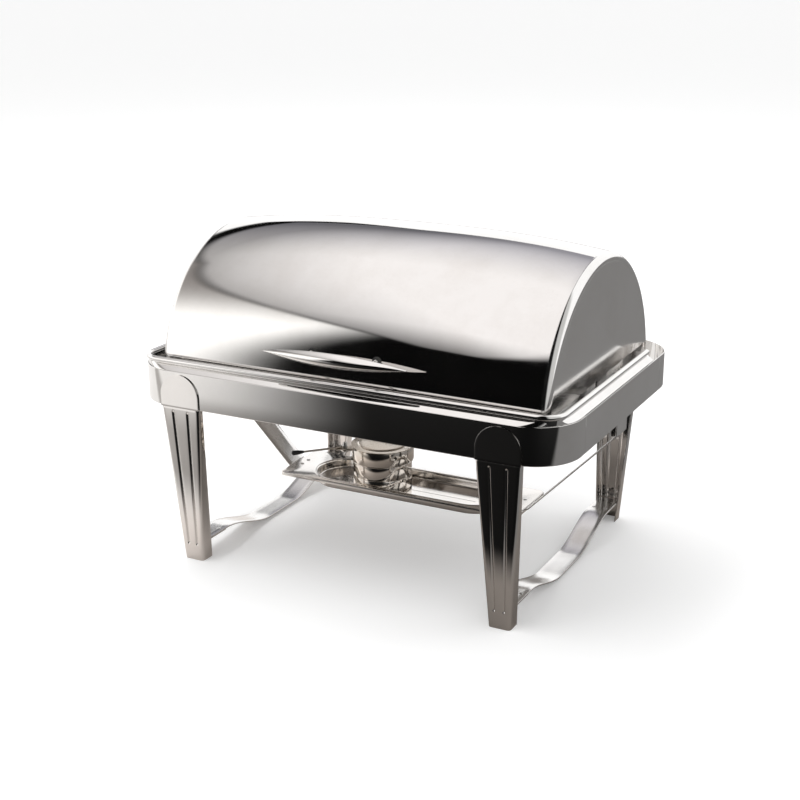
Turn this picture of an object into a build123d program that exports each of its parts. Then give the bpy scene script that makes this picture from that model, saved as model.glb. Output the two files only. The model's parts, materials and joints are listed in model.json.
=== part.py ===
import os
from math import atan2, cos, radians, sin, sqrt

from build123d import *

# Roll top chafer. Millimetres, +X to the right, +Y to the back, +Z up.
# The origin is on the table, under the middle of the body.

# Driving dimensions
body_length = 640.0
body_depth = 448.0
body_corner = 64.0
sheet = 1.2
skirt_height = 50.5
skirt_lip = 7.0
seam_from_corner = 12.0
seam_overlap = 10.0
open_floor_gap = 61.0

# Rim round the lid: a sloping ledge, a rolled bead and a hem
ledge_inset = 8.3
ledge_rise = 7.0
bead_radius = 3.75
bead_corner = 28.0
rim_tuck = 10.5
rim_rear_stop = 99.0

# Lid
lid_gap = 29.0
lid_end_gap = 33.0
lid_crown = 16.0
lid_crown_power = 2.6
lid_edge_round = 10.0
lid_front_lap = 4.5
lid_rear_lap = 10.5
end_wall_front = 0.5
end_wall_rear = 9.5
skirt_above_pivot = 24.5

# Lid pivots
pivot_pin_radius = 3.5
running_gap = 0.08
lug_radius = 15.0
lug_root_width = 36.0
pivot_plate = 2.0
pivot_head_radius = 7.0
pivot_head = 3.5
pin_upset = 0.8
upset_clearance = 0.1
washer_radius = 8.0
washer_thickness = 3.75
body_gap = 0.4
bracket_width = 32.0
bracket_sheet = 2.0
bracket_web_drop = 1.6
bracket_below_pin = 10.0
bracket_weld_height = 15.0

# Lid handle
handle_length = 212.0
handle_height = 21.0
handle_thickness = 12.0
handle_above_pivot = 70.0
handle_reach = 40.5
handle_bow = 0.5
tip_height = 1.5
tip_thickness = 2.5
handle_stations = (-1.0, -0.72, -0.38, 0.0, 0.38, 0.72, 1.0)
handle_back_share = 0.8
handle_shoulder_share = 0.45
post_radius = 3.5
post_spacing = 96.0
post_drop = 3.0
screw_head_radius = 5.0
screw_head = 3.0
pad_radius = 6.5
pad_thickness = 1.5

# Pans
food_flange = 10.0
food_side_room = 55.0
food_front_room = 61.5
food_pan_depth = 65.0
food_sheet = 1.0
food_corner = 34.0
pan_clearance = 2.0
water_room = 10.0
water_pan_depth = food_pan_depth + water_room
water_sheet = 1.2
water_corner = 30.0
water_rim_width = 15.0
water_rim_drop = 10.0
# The bracket's web clears the pin's upset end, and the tray flange clears the web
water_rim_above_pivot = (
    pivot_pin_radius + pin_upset + upset_clearance + bracket_sheet + bracket_web_drop + water_rim_drop
)
tray_rear_edge = 25.0
pan_bottom_round = 12.0
bumper_radius = 6.0
bumper_spacing = 380.0

# Legs
leg_inset = 84.0
leg_top_width = 62.0
leg_foot_width = 31.0
leg_depth_top = 9.0
leg_depth_foot = 22.0
leg_lean = 14.5
leg_sheet = 1.5
leg_edge_round = 4.0
leg_tab_below_top = 3.5
flute_radius = 2.2
flute_top_spacing = 24.0
flute_foot_spacing = 12.5
flute_top_gap = 8.0
flute_foot_gap = 26.0

# Straps between a front and a back leg
strap_width = 33.0
strap_sheet = 2.0
strap_height = 28.5
strap_sag = 25.0
strap_end_gap = 20.0
strap_bend_gap = 60.0
strap_slope_run = 118.0
strap_rivet_gap = 50.0
tab_reach = 54.0
rivet_radius = 3.0
rivet_head = 0.8
rivet_spacing = 18.0

# Fuel shelf and its hangers
shelf_length = 382.0
shelf_depth = 106.0
shelf_sheet = 1.2
shelf_corner = 9.0
shelf_lip = 5.0
recess_length = 300.0
recess_width = 90.0
recess_depth = 13.5
recess_step = 0.75
recess_step_width = 4.0
hanger_width = 40.0
hanger_sheet = 2.0
hanger_foot = 26.0
hanger_knee_drop = 18.0
hanger_weld = 10.0

# Fuel holder
holder_x = -45.0
holder_play = 0.8
holder_sheet = 1.0
holder_body_height = 54.0
collar_standoff = 3.0
collar_height = 21.0
collar_seat = 42.0
flame_gap = 60.0
draught_hole = 2.5
draught_hole_drop = 8.0
damper_sheet = 1.0
damper_gap = 0.3
damper_crown = 1.6
damper_crown_taper = 60.0
damper_flat_rim = 9.0
damper_angle = 227.0
hole_from_lever = 95.0
damper_pivot_out = 11.0
damper_pin_radius = 2.0
pin_head_radius = 3.4
pin_head_height = 8.0
tongue_reach = 15.0
lever_radius = 1.6
lever_reach = 64.0
lever_arm_width = 12.0
knob_radius = 3.6
knob_length = 18.0
knob_overlap = 6.0

# Places that follow from the sizes above
half_length = body_length / 2
half_depth = body_depth / 2
inner_x = half_length - sheet
inner_y = half_depth - sheet
lid_radius = half_depth - lid_gap
lid_half = half_length - lid_end_gap
pivot_z = lid_radius + open_floor_gap
skirt_top = pivot_z + skirt_above_pivot
skirt_bottom = skirt_top - skirt_height
seam_y = half_depth - body_corner - seam_from_corner
bead_inset = ledge_inset + bead_radius
bead_x = half_length - bead_inset
bead_y = half_depth - bead_inset
ledge_top = skirt_top + ledge_rise
bead_z = ledge_top + bead_radius
water_top = pivot_z + water_rim_above_pivot
tray_z = water_top - water_rim_drop
pan_bottom = water_top - water_pan_depth
burner_top = pan_bottom - flame_gap
leg_x = half_length - leg_inset

os.makedirs("parts", exist_ok=True)


def save(piece, name):
    """Label one finished piece and write it as its own STEP file."""
    piece.part.label = name
    export_step(piece.part, f"parts/{name}.step")


def wall_ring(length, depth, corner, thickness, low, high):
    """A rounded rectangular wall, its outside at the given length and depth."""
    with BuildPart() as ring:
        with BuildSketch(Plane.XY.offset(low)):
            RectangleRounded(length, depth, corner)
            inner_corner = max(corner - thickness, 1.0)
            RectangleRounded(
                length - 2 * thickness, depth - 2 * thickness, inner_corner, mode=Mode.SUBTRACT
            )
        extrude(amount=high - low)
    return ring.part


def keep_block(x_low, x_high, y_low, y_high):
    """Keep only what stands inside an upright block, in the current part."""
    with Locations(((x_low + x_high) / 2, (y_low + y_high) / 2, 0)):
        Box(x_high - x_low, y_high - y_low, 4 * skirt_top, mode=Mode.INTERSECT)


# Skirt: a pressed band in four pieces, with a lip turned in along the bottom
with BuildPart() as skirt_ring:
    add(wall_ring(body_length, body_depth, body_corner, sheet, skirt_bottom, skirt_top))
    add(
        wall_ring(
            2 * inner_x,
            2 * inner_y,
            body_corner - sheet,
            skirt_lip,
            skirt_bottom,
            skirt_bottom + sheet,
        )
    )

with BuildPart() as skirt_front:
    add(skirt_ring.part)
    keep_block(-half_length, half_length, -half_depth, -seam_y)
save(skirt_front, "skirt_front")

with BuildPart() as skirt_rear:
    mirror(skirt_front.part, about=Plane.XZ)
save(skirt_rear, "skirt_rear")

hanger_slot = hanger_width + 1.0
with BuildPart() as skirt_end_right:
    add(skirt_ring.part)
    keep_block(0, half_length, -seam_y, seam_y)
    with Locations((inner_x - sheet / 2, 0, (skirt_bottom + skirt_top + 2 * sheet) / 2)):
        Box(sheet, 2 * (seam_y + seam_overlap), skirt_height - 4 * sheet)
    with Locations((inner_x - skirt_lip / 2, 0, skirt_bottom + sheet)):
        Box(skirt_lip, hanger_slot, 6 * sheet, mode=Mode.SUBTRACT)
save(skirt_end_right, "skirt_end_right")

with BuildPart() as skirt_end_left:
    mirror(skirt_end_right.part, about=Plane.YZ)
save(skirt_end_left, "skirt_end_left")

# Rim: open at the back, where the lid rolls down behind the water pan.
# Its tuck goes down inside the skirt, inside the doubled seams of the ends.
tuck_x = inner_x - sheet
ledge_length = 2 * tuck_x
ledge_depth = 2 * inner_y
ledge_corner = body_corner - sheet


def funnel(inset):
    """The tuck and the sloping ledge as one solid, drawn in by a sheet thickness where asked."""
    with BuildPart() as solid:
        with BuildSketch(Plane.XY.offset(skirt_top - rim_tuck - inset)):
            RectangleRounded(ledge_length - 2 * inset, ledge_depth - 2 * inset, ledge_corner - inset)
        extrude(amount=rim_tuck)
        with BuildSketch(Plane.XY.offset(skirt_top - inset)):
            RectangleRounded(ledge_length - 2 * inset, ledge_depth - 2 * inset, ledge_corner - inset)
        with BuildSketch(Plane.XY.offset(ledge_top - inset)):
            RectangleRounded(2 * (bead_x - inset), 2 * (bead_y - inset), bead_corner - inset)
        loft(ruled=True)
    return solid.part


hem_out = sheet / 2
hem_high = bead_z - tray_z
with BuildPart() as rim_frame:
    add(funnel(0))
    add(funnel(sheet), mode=Mode.SUBTRACT)
    with BuildSketch(Plane.XY.offset(tray_z)):
        RectangleRounded(2 * (bead_x + hem_out), 2 * (bead_y + hem_out), bead_corner + hem_out)
    extrude(amount=hem_high)
    with BuildSketch(Plane.XY.offset(tray_z - hem_high)):
        RectangleRounded(2 * (bead_x - hem_out), 2 * (bead_y - hem_out), bead_corner - hem_out)
    extrude(amount=3 * hem_high, mode=Mode.SUBTRACT)
    with BuildLine(Plane.XY.offset(bead_z)) as bead_path:
        FilletPolyline(
            (bead_x, half_depth, 0),
            (bead_x, -bead_y, 0),
            (-bead_x, -bead_y, 0),
            (-bead_x, half_depth, 0),
            radius=bead_corner,
        )
    with BuildSketch(Plane((bead_x, half_depth, bead_z), x_dir=(1, 0, 0), z_dir=(0, -1, 0))):
        Circle(bead_radius)
    sweep(path=bead_path.line)
    keep_block(-half_length, half_length, -half_depth, half_depth - rim_rear_stop)
save(rim_frame, "rim_frame")

# Water pan, hung from a tray flange along the front and the front half of each end
food_length = body_length - 2 * food_side_room
food_depth = body_depth - 2 * food_front_room
food_opening = food_length - 2 * food_flange
food_opening_depth = food_depth - 2 * food_flange
water_length = food_opening + 2 * pan_clearance
water_depth = food_opening_depth + 2 * pan_clearance
water_rim_length = water_length + 2 * water_rim_width
water_rim_depth = water_depth + 2 * water_rim_width

with BuildPart() as water_pan:
    with BuildSketch(Plane.XY.offset(pan_bottom)):
        RectangleRounded(
            water_length + 2 * water_sheet,
            water_depth + 2 * water_sheet,
            water_corner + water_sheet,
        )
    extrude(amount=water_pan_depth)
    fillet(water_pan.faces().sort_by(Axis.Z)[0].edges(), pan_bottom_round)
    with BuildSketch(Plane.XY.offset(water_top - water_sheet)):
        RectangleRounded(water_rim_length, water_rim_depth, water_corner + water_rim_width)
    extrude(amount=water_sheet)
    with BuildPart(mode=Mode.PRIVATE) as water_hollow:
        with BuildSketch(Plane.XY.offset(pan_bottom + water_sheet)):
            RectangleRounded(water_length, water_depth, water_corner)
        extrude(amount=water_pan_depth)
        fillet(water_hollow.faces().sort_by(Axis.Z)[0].edges(), pan_bottom_round - water_sheet)
    add(water_hollow.part, mode=Mode.SUBTRACT)
    add(
        wall_ring(
            water_rim_length,
            water_rim_depth,
            water_corner + water_rim_width,
            water_sheet,
            tray_z,
            water_top,
        )
    )
    with BuildPart(mode=Mode.PRIVATE) as tray:
        with BuildSketch(Plane.XY.offset(tray_z - water_sheet)):
            RectangleRounded(ledge_length, ledge_depth, ledge_corner)
            RectangleRounded(
                water_rim_length - 2 * water_sheet,
                water_rim_depth - 2 * water_sheet,
                water_corner + water_rim_width - water_sheet,
                mode=Mode.SUBTRACT,
            )
        extrude(amount=water_sheet)
        keep_block(-half_length, half_length, -half_depth, -tray_rear_edge)
    add(tray.part)
save(water_pan, "water_pan")

# Food pan, standing by its flange on the rim of the water pan
flange_low = water_top + body_gap
food_bottom = flange_low + food_sheet - food_pan_depth
with BuildPart() as food_pan:
    with BuildSketch(Plane.XY.offset(food_bottom)):
        RectangleRounded(
            food_opening - 2 * pan_clearance,
            food_opening_depth - 2 * pan_clearance,
            food_corner,
        )
    extrude(amount=food_pan_depth)
    fillet(food_pan.faces().sort_by(Axis.Z)[0].edges(), pan_bottom_round)
    with BuildSketch(Plane.XY.offset(flange_low)):
        RectangleRounded(food_length, food_depth, food_corner + food_flange)
    extrude(amount=food_sheet)
    with BuildPart(mode=Mode.PRIVATE) as food_hollow:
        with BuildSketch(Plane.XY.offset(food_bottom + food_sheet)):
            RectangleRounded(
                food_opening - 2 * pan_clearance - 2 * food_sheet,
                food_opening_depth - 2 * pan_clearance - 2 * food_sheet,
                food_corner - food_sheet,
            )
        extrude(amount=food_pan_depth)
        fillet(food_hollow.faces().sort_by(Axis.Z)[0].edges(), pan_bottom_round - food_sheet)
    add(food_hollow.part, mode=Mode.SUBTRACT)
save(food_pan, "food_pan")

# Rests for the front edge of the closed lid
lid_front_z = skirt_top - lid_front_lap
lid_rear_z = skirt_top - lid_rear_lap
lid_front_y = sqrt(lid_radius**2 - (lid_front_z - pivot_z) ** 2)
with BuildPart() as lid_bumpers:
    with BuildSketch(Plane.XY.offset(tray_z)):
        with GridLocations(bumper_spacing, 0, 2, 1):
            with Locations((0, -lid_front_y + bumper_radius / 2)):
                Circle(bumper_radius)
    extrude(amount=lid_front_z - tray_z - body_gap)
save(lid_bumpers, "lid_bumpers")

# Lid: a half drum, crowned along its length, with flat ends rounded over at the edge
drum_low = pivot_z + 1.0
drum_end = lid_half - lid_edge_round
crown_stations = 4


def trim_half(low):
    """Cut away the part of a section that lies below the open mouth of the lid."""
    with Locations((0, low - 2 * lid_radius)):
        Rectangle(4 * lid_radius, 4 * lid_radius, mode=Mode.SUBTRACT)


def crowned_drum(inset, half, low):
    """The crowned half drum as a solid, drawn in by a sheet thickness where asked."""
    with BuildPart() as solid:
        for station in range(-crown_stations, crown_stations + 1):
            share = station / crown_stations
            rise = lid_crown * (1 - abs(share) ** lid_crown_power)
            with BuildSketch(Plane.YZ.offset(share * half)):
                with Locations((0, pivot_z)):
                    Ellipse(lid_radius - inset, lid_radius + rise - inset)
                trim_half(low)
        loft()
    return solid.part


def end_drum(inset, half, low):
    """The round-edged end of the lid as a solid, drawn in by a sheet thickness where asked."""
    with BuildPart() as solid:
        with BuildSketch(Plane.YZ.offset(drum_end - 2 * lid_edge_round)):
            with Locations((0, pivot_z)):
                Circle(lid_radius - inset)
            trim_half(low)
        extrude(amount=half - drum_end + 2 * lid_edge_round)
        outer_arc = solid.edges().filter_by(GeomType.CIRCLE).sort_by(Axis.X)[-1]
        fillet(outer_arc, lid_edge_round - inset)
    return solid.part


def open_mouth(half):
    """Trim the bottom edge of the current lid piece, higher at the front than at the back."""
    for side, edge_z in ((-1, lid_front_z), (1, lid_rear_z)):
        with Locations((0, side * lid_radius, (drum_low - sheet + edge_z) / 2)):
            Box(2 * half, 2 * lid_radius, edge_z - drum_low + sheet, mode=Mode.SUBTRACT)


lid_outside = crowned_drum(0, drum_end, drum_low)
lid_inside = crowned_drum(sheet, drum_end, drum_low - sheet)
with BuildPart() as lid_sheet:
    add(lid_outside)
    add(lid_inside, mode=Mode.SUBTRACT)
    open_mouth(lid_half)
save(lid_sheet, "lid_sheet")

end_front_z = skirt_top + end_wall_front
end_rear_z = skirt_top + end_wall_rear
with BuildPart() as lid_end_right:
    add(end_drum(0, lid_half, drum_low))
    add(end_drum(sheet, lid_half - sheet, drum_low - sheet), mode=Mode.SUBTRACT)
    open_mouth(lid_half)
    keep_block(drum_end, lid_half, -lid_radius, lid_radius)
    with BuildSketch(Plane.YZ.offset(lid_half - 2 * sheet)):
        with BuildLine():
            Polyline(
                (-lid_radius, drum_low - sheet),
                (lid_radius, drum_low - sheet),
                (lid_radius, end_rear_z),
                (-lid_radius, end_front_z),
                close=True,
            )
        make_face()
    extrude(amount=3 * sheet, mode=Mode.SUBTRACT)
    with BuildSketch(Plane.YZ.offset(lid_half - sheet)):
        with BuildLine():
            Polyline(
                (-lug_radius, pivot_z),
                (lug_radius, pivot_z),
                (lug_root_width / 2, end_rear_z),
                (-lug_root_width / 2, end_rear_z),
                close=True,
            )
        make_face()
        with Locations((0, pivot_z)):
            Circle(lug_radius)
            Circle(pivot_pin_radius + running_gap, mode=Mode.SUBTRACT)
    extrude(amount=sheet)
save(lid_end_right, "lid_end_right")

with BuildPart() as lid_end_left:
    mirror(lid_end_right.part, about=Plane.YZ)
save(lid_end_left, "lid_end_left")

# Pivots: a doubler inside each lid end, turning on a headed pin in a frame bracket
plate_top = end_rear_z + 2 * lug_radius
plate_face = lid_half - sheet - pivot_plate
with BuildPart() as pivot_plate_right:
    with BuildSketch(Plane.YZ.offset(plate_face)):
        with BuildLine():
            Polyline(
                (-lug_radius, pivot_z),
                (lug_radius, pivot_z),
                (lug_root_width / 2, plate_top),
                (-lug_root_width / 2, plate_top),
                close=True,
            )
        make_face()
        with Locations((0, pivot_z)):
            Circle(lug_radius)
            Circle(pivot_pin_radius + running_gap, mode=Mode.SUBTRACT)
    extrude(amount=pivot_plate)
    top_edges = pivot_plate_right.edges().filter_by(Axis.X).group_by(Axis.Z)[-1]
    fillet(top_edges, lug_radius / 2)
save(pivot_plate_right, "pivot_plate_right")

with BuildPart() as pivot_plate_left:
    mirror(pivot_plate_right.part, about=Plane.YZ)
save(pivot_plate_left, "pivot_plate_left")

bracket_face = lid_half + 2 * body_gap + washer_thickness
web_top = tray_z - bracket_web_drop
bracket_low = pivot_z - bracket_below_pin
with BuildPart() as pivot_bracket_right:
    with BuildSketch(Plane.XZ.offset(-bracket_width / 2)):
        with BuildLine():
            Polyline(
                (bracket_face, bracket_low),
                (bracket_face, web_top),
                (tuck_x, web_top),
                (tuck_x, web_top - bracket_weld_height),
                (tuck_x - bracket_sheet, web_top - bracket_weld_height),
                (tuck_x - bracket_sheet, web_top - bracket_sheet),
                (bracket_face + bracket_sheet, web_top - bracket_sheet),
                (bracket_face + bracket_sheet, bracket_low),
                close=True,
            )
        make_face()
    extrude(amount=bracket_width)
    low_corners = pivot_bracket_right.edges().filter_by(Axis.X).group_by(Axis.Z)[0]
    fillet(low_corners, bracket_below_pin / 2)
    with BuildSketch(Plane.YZ.offset(bracket_face)):
        with Locations((0, pivot_z)):
            Circle(pivot_pin_radius)
    extrude(amount=bracket_sheet, mode=Mode.SUBTRACT)
save(pivot_bracket_right, "pivot_bracket_right")

with BuildPart() as pivot_bracket_left:
    mirror(pivot_bracket_right.part, about=Plane.YZ)
save(pivot_bracket_left, "pivot_bracket_left")

pin_head_out = plate_face - body_gap
pin_tail = bracket_face + bracket_sheet
with BuildPart() as pivot_pin_right:
    with BuildSketch(Plane.YZ.offset(pin_head_out - pivot_head)):
        with Locations((0, pivot_z)):
            Circle(pivot_head_radius)
    extrude(amount=pivot_head)
    chamfer(pivot_pin_right.faces().sort_by(Axis.X)[0].edges(), pivot_head / 4)
    with BuildSketch(Plane.YZ.offset(pin_head_out)):
        with Locations((0, pivot_z)):
            Circle(pivot_pin_radius)
    extrude(amount=pin_tail - pin_head_out)
    with BuildSketch(Plane.YZ.offset(bracket_face + bracket_sheet)):
        with Locations((0, pivot_z)):
            Circle(pivot_pin_radius + pin_upset)
    extrude(amount=pivot_head / 2)
save(pivot_pin_right, "pivot_pin_right")

with BuildPart() as pivot_pin_left:
    mirror(pivot_pin_right.part, about=Plane.YZ)
save(pivot_pin_left, "pivot_pin_left")

with BuildPart() as pivot_washer_right:
    with BuildSketch(Plane.YZ.offset(bracket_face - washer_thickness)):
        with Locations((0, pivot_z)):
            Circle(washer_radius)
            Circle(pivot_pin_radius, mode=Mode.SUBTRACT)
    extrude(amount=washer_thickness)
save(pivot_washer_right, "pivot_washer_right")

with BuildPart() as pivot_washer_left:
    mirror(pivot_washer_right.part, about=Plane.YZ)
save(pivot_washer_left, "pivot_washer_left")

# Lid handle: a leaf-shaped bar with a crease along its front, on two posts
handle_z = pivot_z + handle_above_pivot
post_above_pivot = handle_above_pivot - post_drop
post_z = pivot_z + post_above_pivot
lid_face_y = -lid_radius * sqrt(1 - (post_above_pivot / (lid_radius + lid_crown)) ** 2)
handle_back = lid_face_y - handle_reach + handle_thickness


def leaf_width(share):
    """Height of the leaf at a share of its half length, as a parabola with a pointed tip."""
    return handle_height * (1 - share**2) + tip_height * share**2


with BuildPart() as lid_handle:
    for share in handle_stations:
        high = leaf_width(share) / 2
        deep = handle_thickness * (1 - share**2) + tip_thickness * share**2
        back = handle_back + handle_bow * share**2
        shoulder = back - deep * handle_shoulder_share
        low_corner = (back, handle_z - high * handle_back_share)
        high_corner = (back, handle_z + high * handle_back_share)
        crease = (back - deep, handle_z)
        with BuildSketch(Plane.YZ.offset(share * handle_length / 2)):
            with BuildLine():
                Line(low_corner, high_corner)
                ThreePointArc(high_corner, (shoulder, handle_z + high), crease)
                ThreePointArc(crease, (shoulder, handle_z - high), low_corner)
            make_face()
    loft()
save(lid_handle, "lid_handle")

post_bow = handle_bow * (post_spacing / handle_length) ** 2
normal_angle = atan2(post_above_pivot / (lid_radius + lid_crown) ** 2, -lid_face_y / lid_radius**2)
seat_normal = (0, -cos(normal_angle), sin(normal_angle))
seat_plane = Plane((0, lid_face_y, post_z), x_dir=(1, 0, 0), z_dir=seat_normal)

with BuildPart() as handle_pads:
    with BuildSketch(seat_plane.offset(-pad_thickness)):
        with GridLocations(post_spacing, 0, 2, 1):
            Circle(pad_radius)
    extrude(amount=2 * pad_thickness)
    add(lid_outside, mode=Mode.SUBTRACT)
save(handle_pads, "handle_pads")

with BuildPart() as handle_posts:
    with BuildSketch(Plane.XZ.offset(-handle_back - post_bow)):
        with Locations((0, post_z)):
            with GridLocations(post_spacing, 0, 2, 1):
                Circle(post_radius)
    extrude(amount=handle_back + post_bow - lid_face_y - post_radius)
    with BuildSketch(seat_plane.offset(pad_thickness)):
        Rectangle(2 * post_spacing, 4 * pad_radius)
    extrude(amount=-4 * pad_radius, mode=Mode.SUBTRACT)
save(handle_posts, "handle_posts")

with BuildPart() as handle_screws:
    with BuildSketch(seat_plane.offset(-sheet - screw_head)):
        with GridLocations(post_spacing, 0, 2, 1):
            Circle(screw_head_radius)
    extrude(amount=2 * screw_head)
    add(lid_inside, mode=Mode.INTERSECT)
save(handle_screws, "handle_screws")

# Legs: tapering pressed channels, open at the back, with an arched tab over the skirt
leg_outer_top = half_depth + leg_sheet
leg_outer_foot = leg_outer_top - leg_lean


def channel(side_inset, front_inset, edge_round, back_extra):
    """The tapering body of a leg as a solid, drawn in by a wall thickness where asked."""
    with BuildPart() as solid:
        for height, width, face, flange in (
            (0, leg_foot_width, leg_outer_foot, leg_depth_foot),
            (skirt_bottom, leg_top_width, leg_outer_top, leg_depth_top),
        ):
            depth = flange - front_inset + back_extra
            with BuildSketch(Plane.XY.offset(height)):
                with Locations((leg_x, -(face - front_inset) + depth / 2)):
                    Rectangle(width - 2 * side_inset, depth)
        loft()
        front_corners = solid.edges().filter_by(Axis.Z, reverse=True)
        long_edges = front_corners.filter_by(lambda edge: edge.length > skirt_bottom / 2)
        fillet(long_edges.sort_by(Axis.Y)[0:2], edge_round)
    return solid.part


def flute(side, radius):
    """One long tapering flute that follows the front face of the leg."""
    low = flute_foot_gap
    high = skirt_bottom - flute_top_gap
    points = []
    for height, spacing in ((low, flute_foot_spacing), (high, flute_top_spacing)):
        share = height / skirt_bottom
        face = leg_outer_foot + (leg_outer_top - leg_outer_foot) * share
        points.append(Vector(leg_x + side * spacing / 2, -face, height))
    direction = points[1] - points[0]
    with BuildPart() as groove:
        with BuildSketch(Plane(points[0], z_dir=direction)):
            Circle(radius)
        extrude(amount=direction.length)
        with Locations(points[0], points[1]):
            Sphere(radius)
    return groove.part


with BuildPart() as leg_front_right:
    add(channel(0, 0, leg_edge_round, 0))
    with BuildPart(mode=Mode.PRIVATE) as flute_backs:
        add(flute(-1, flute_radius + leg_sheet))
        add(flute(1, flute_radius + leg_sheet))
        add(channel(0, 0, leg_edge_round, 0), mode=Mode.INTERSECT)
    add(channel(leg_sheet, leg_sheet, leg_edge_round - leg_sheet, leg_depth_foot), mode=Mode.SUBTRACT)
    add(flute_backs.part)
    add(flute(-1, flute_radius), mode=Mode.SUBTRACT)
    add(flute(1, flute_radius), mode=Mode.SUBTRACT)
    with BuildSketch(Plane.XZ.offset(half_depth)):
        arch_height = skirt_top - leg_tab_below_top - leg_top_width / 2
        with Locations((leg_x, (skirt_bottom + arch_height) / 2)):
            Rectangle(leg_top_width, arch_height - skirt_bottom)
        with Locations((leg_x, arch_height)):
            Circle(leg_top_width / 2)
    extrude(amount=leg_sheet)
save(leg_front_right, "leg_front_right")

with BuildPart() as leg_front_left:
    mirror(leg_front_right.part, about=Plane.YZ)
save(leg_front_left, "leg_front_left")

with BuildPart() as leg_rear_right:
    mirror(leg_front_right.part, about=Plane.XZ)
save(leg_rear_right, "leg_rear_right")

with BuildPart() as leg_rear_left:
    mirror(leg_rear_right.part, about=Plane.YZ)
save(leg_rear_left, "leg_rear_left")

# Tabs welded inside the legs, and the sagging straps riveted to them
tab_share = strap_height / skirt_bottom
leg_face_at_tab = leg_outer_foot + leg_lean * tab_share - leg_sheet
tab_end = leg_face_at_tab - flute_radius - leg_sheet
strap_end = leg_face_at_tab - strap_end_gap
strap_bend = leg_face_at_tab - strap_bend_gap
with BuildPart() as strap_tab_front_right:
    with BuildSketch(Plane.XY.offset(strap_height - leg_sheet)):
        with Locations((leg_x, -tab_end + tab_reach / 2)):
            Rectangle(leg_top_width, tab_reach)
    extrude(amount=leg_sheet)
    add(channel(leg_sheet, leg_sheet, leg_edge_round - leg_sheet, tab_reach), mode=Mode.INTERSECT)
save(strap_tab_front_right, "strap_tab_front_right")

with BuildPart() as strap_tab_front_left:
    mirror(strap_tab_front_right.part, about=Plane.YZ)
save(strap_tab_front_left, "strap_tab_front_left")

with BuildPart() as strap_tab_rear_right:
    mirror(strap_tab_front_right.part, about=Plane.XZ)
save(strap_tab_rear_right, "strap_tab_rear_right")

with BuildPart() as strap_tab_rear_left:
    mirror(strap_tab_rear_right.part, about=Plane.YZ)
save(strap_tab_rear_left, "strap_tab_rear_left")

slope_end = strap_bend - strap_slope_run
strap_low = strap_height - strap_sag
strap_mid_y = (strap_bend + slope_end) / 2
strap_mid_z = (strap_height + strap_low) / 2


def strap_edge(lift):
    """The bent line of a strap's underside or, lifted, of its top."""
    Line((-strap_end, strap_height + lift), (-strap_bend, strap_height + lift))
    Spline(
        (-strap_bend, strap_height + lift),
        (-strap_mid_y, strap_mid_z + lift),
        (-slope_end, strap_low + lift),
        tangents=((1, 0), (1, 0)),
    )
    Line((-slope_end, strap_low + lift), (slope_end, strap_low + lift))
    Spline(
        (slope_end, strap_low + lift),
        (strap_mid_y, strap_mid_z + lift),
        (strap_bend, strap_height + lift),
        tangents=((1, 0), (1, 0)),
    )
    Line((strap_bend, strap_height + lift), (strap_end, strap_height + lift))


with BuildPart() as end_strap_right:
    with BuildSketch(Plane.YZ.offset(leg_x - strap_width / 2)):
        with BuildLine():
            strap_edge(0)
            strap_edge(strap_sheet)
            for end_y in (-strap_end, strap_end):
                Line((end_y, strap_height), (end_y, strap_height + strap_sheet))
        make_face()
    extrude(amount=strap_width)
save(end_strap_right, "end_strap_right")

with BuildPart() as end_strap_left:
    mirror(end_strap_right.part, about=Plane.YZ)
save(end_strap_left, "end_strap_left")

strap_top = strap_height + strap_sheet
rivet_y = leg_face_at_tab - strap_rivet_gap
with BuildPart() as strap_rivets:
    for sign_x in (-1, 1):
        for sign_y in (-1, 1):
            for across in (-rivet_spacing / 2, rivet_spacing / 2):
                with Locations((sign_x * leg_x + across, sign_y * rivet_y, strap_top + rivet_head / 2)):
                    Cylinder(rivet_radius, rivet_head)
    fillet(strap_rivets.faces().group_by(Axis.Z)[-1].edges(), rivet_head / 2)
save(strap_rivets, "strap_rivets")

# Fuel shelf with a pressed track for the fuel holder
holder_radius = recess_width / 2 - shelf_sheet - holder_play
holder_stack = body_gap + collar_seat + collar_height + damper_gap + damper_sheet
track_floor = burner_top - holder_stack
shelf_top = track_floor + recess_depth
with BuildPart() as fuel_shelf:
    with BuildSketch(Plane.XY.offset(shelf_top - shelf_sheet)):
        RectangleRounded(shelf_length, shelf_depth, shelf_corner)
    extrude(amount=shelf_sheet)
    with BuildSketch(Plane.XY.offset(shelf_top - shelf_lip)):
        RectangleRounded(shelf_length, shelf_depth, shelf_corner)
        RectangleRounded(
            shelf_length - 2 * shelf_sheet,
            shelf_depth - 2 * shelf_sheet,
            shelf_corner - shelf_sheet,
            mode=Mode.SUBTRACT,
        )
        Rectangle(2 * shelf_length, hanger_width + 2, mode=Mode.SUBTRACT)
    extrude(amount=shelf_lip)
    with BuildSketch(Plane.XY.offset(track_floor - shelf_sheet)):
        SlotOverall(recess_length, recess_width)
    extrude(amount=recess_depth + shelf_sheet)
    with BuildSketch(Plane.XY.offset(track_floor)):
        SlotOverall(recess_length - 2 * shelf_sheet, recess_width - 2 * shelf_sheet)
    extrude(amount=recess_depth, mode=Mode.SUBTRACT)
    with BuildSketch(Plane.XY.offset(shelf_top)):
        SlotOverall(recess_length + 2 * recess_step_width, recess_width + 2 * recess_step_width)
        SlotOverall(recess_length - 2 * shelf_sheet, recess_width - 2 * shelf_sheet, mode=Mode.SUBTRACT)
    extrude(amount=recess_step)
    step_edges = fuel_shelf.faces().group_by(Axis.Z)[-1].edges()
    fillet(step_edges, recess_step / 2)
save(fuel_shelf, "fuel_shelf")

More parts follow.
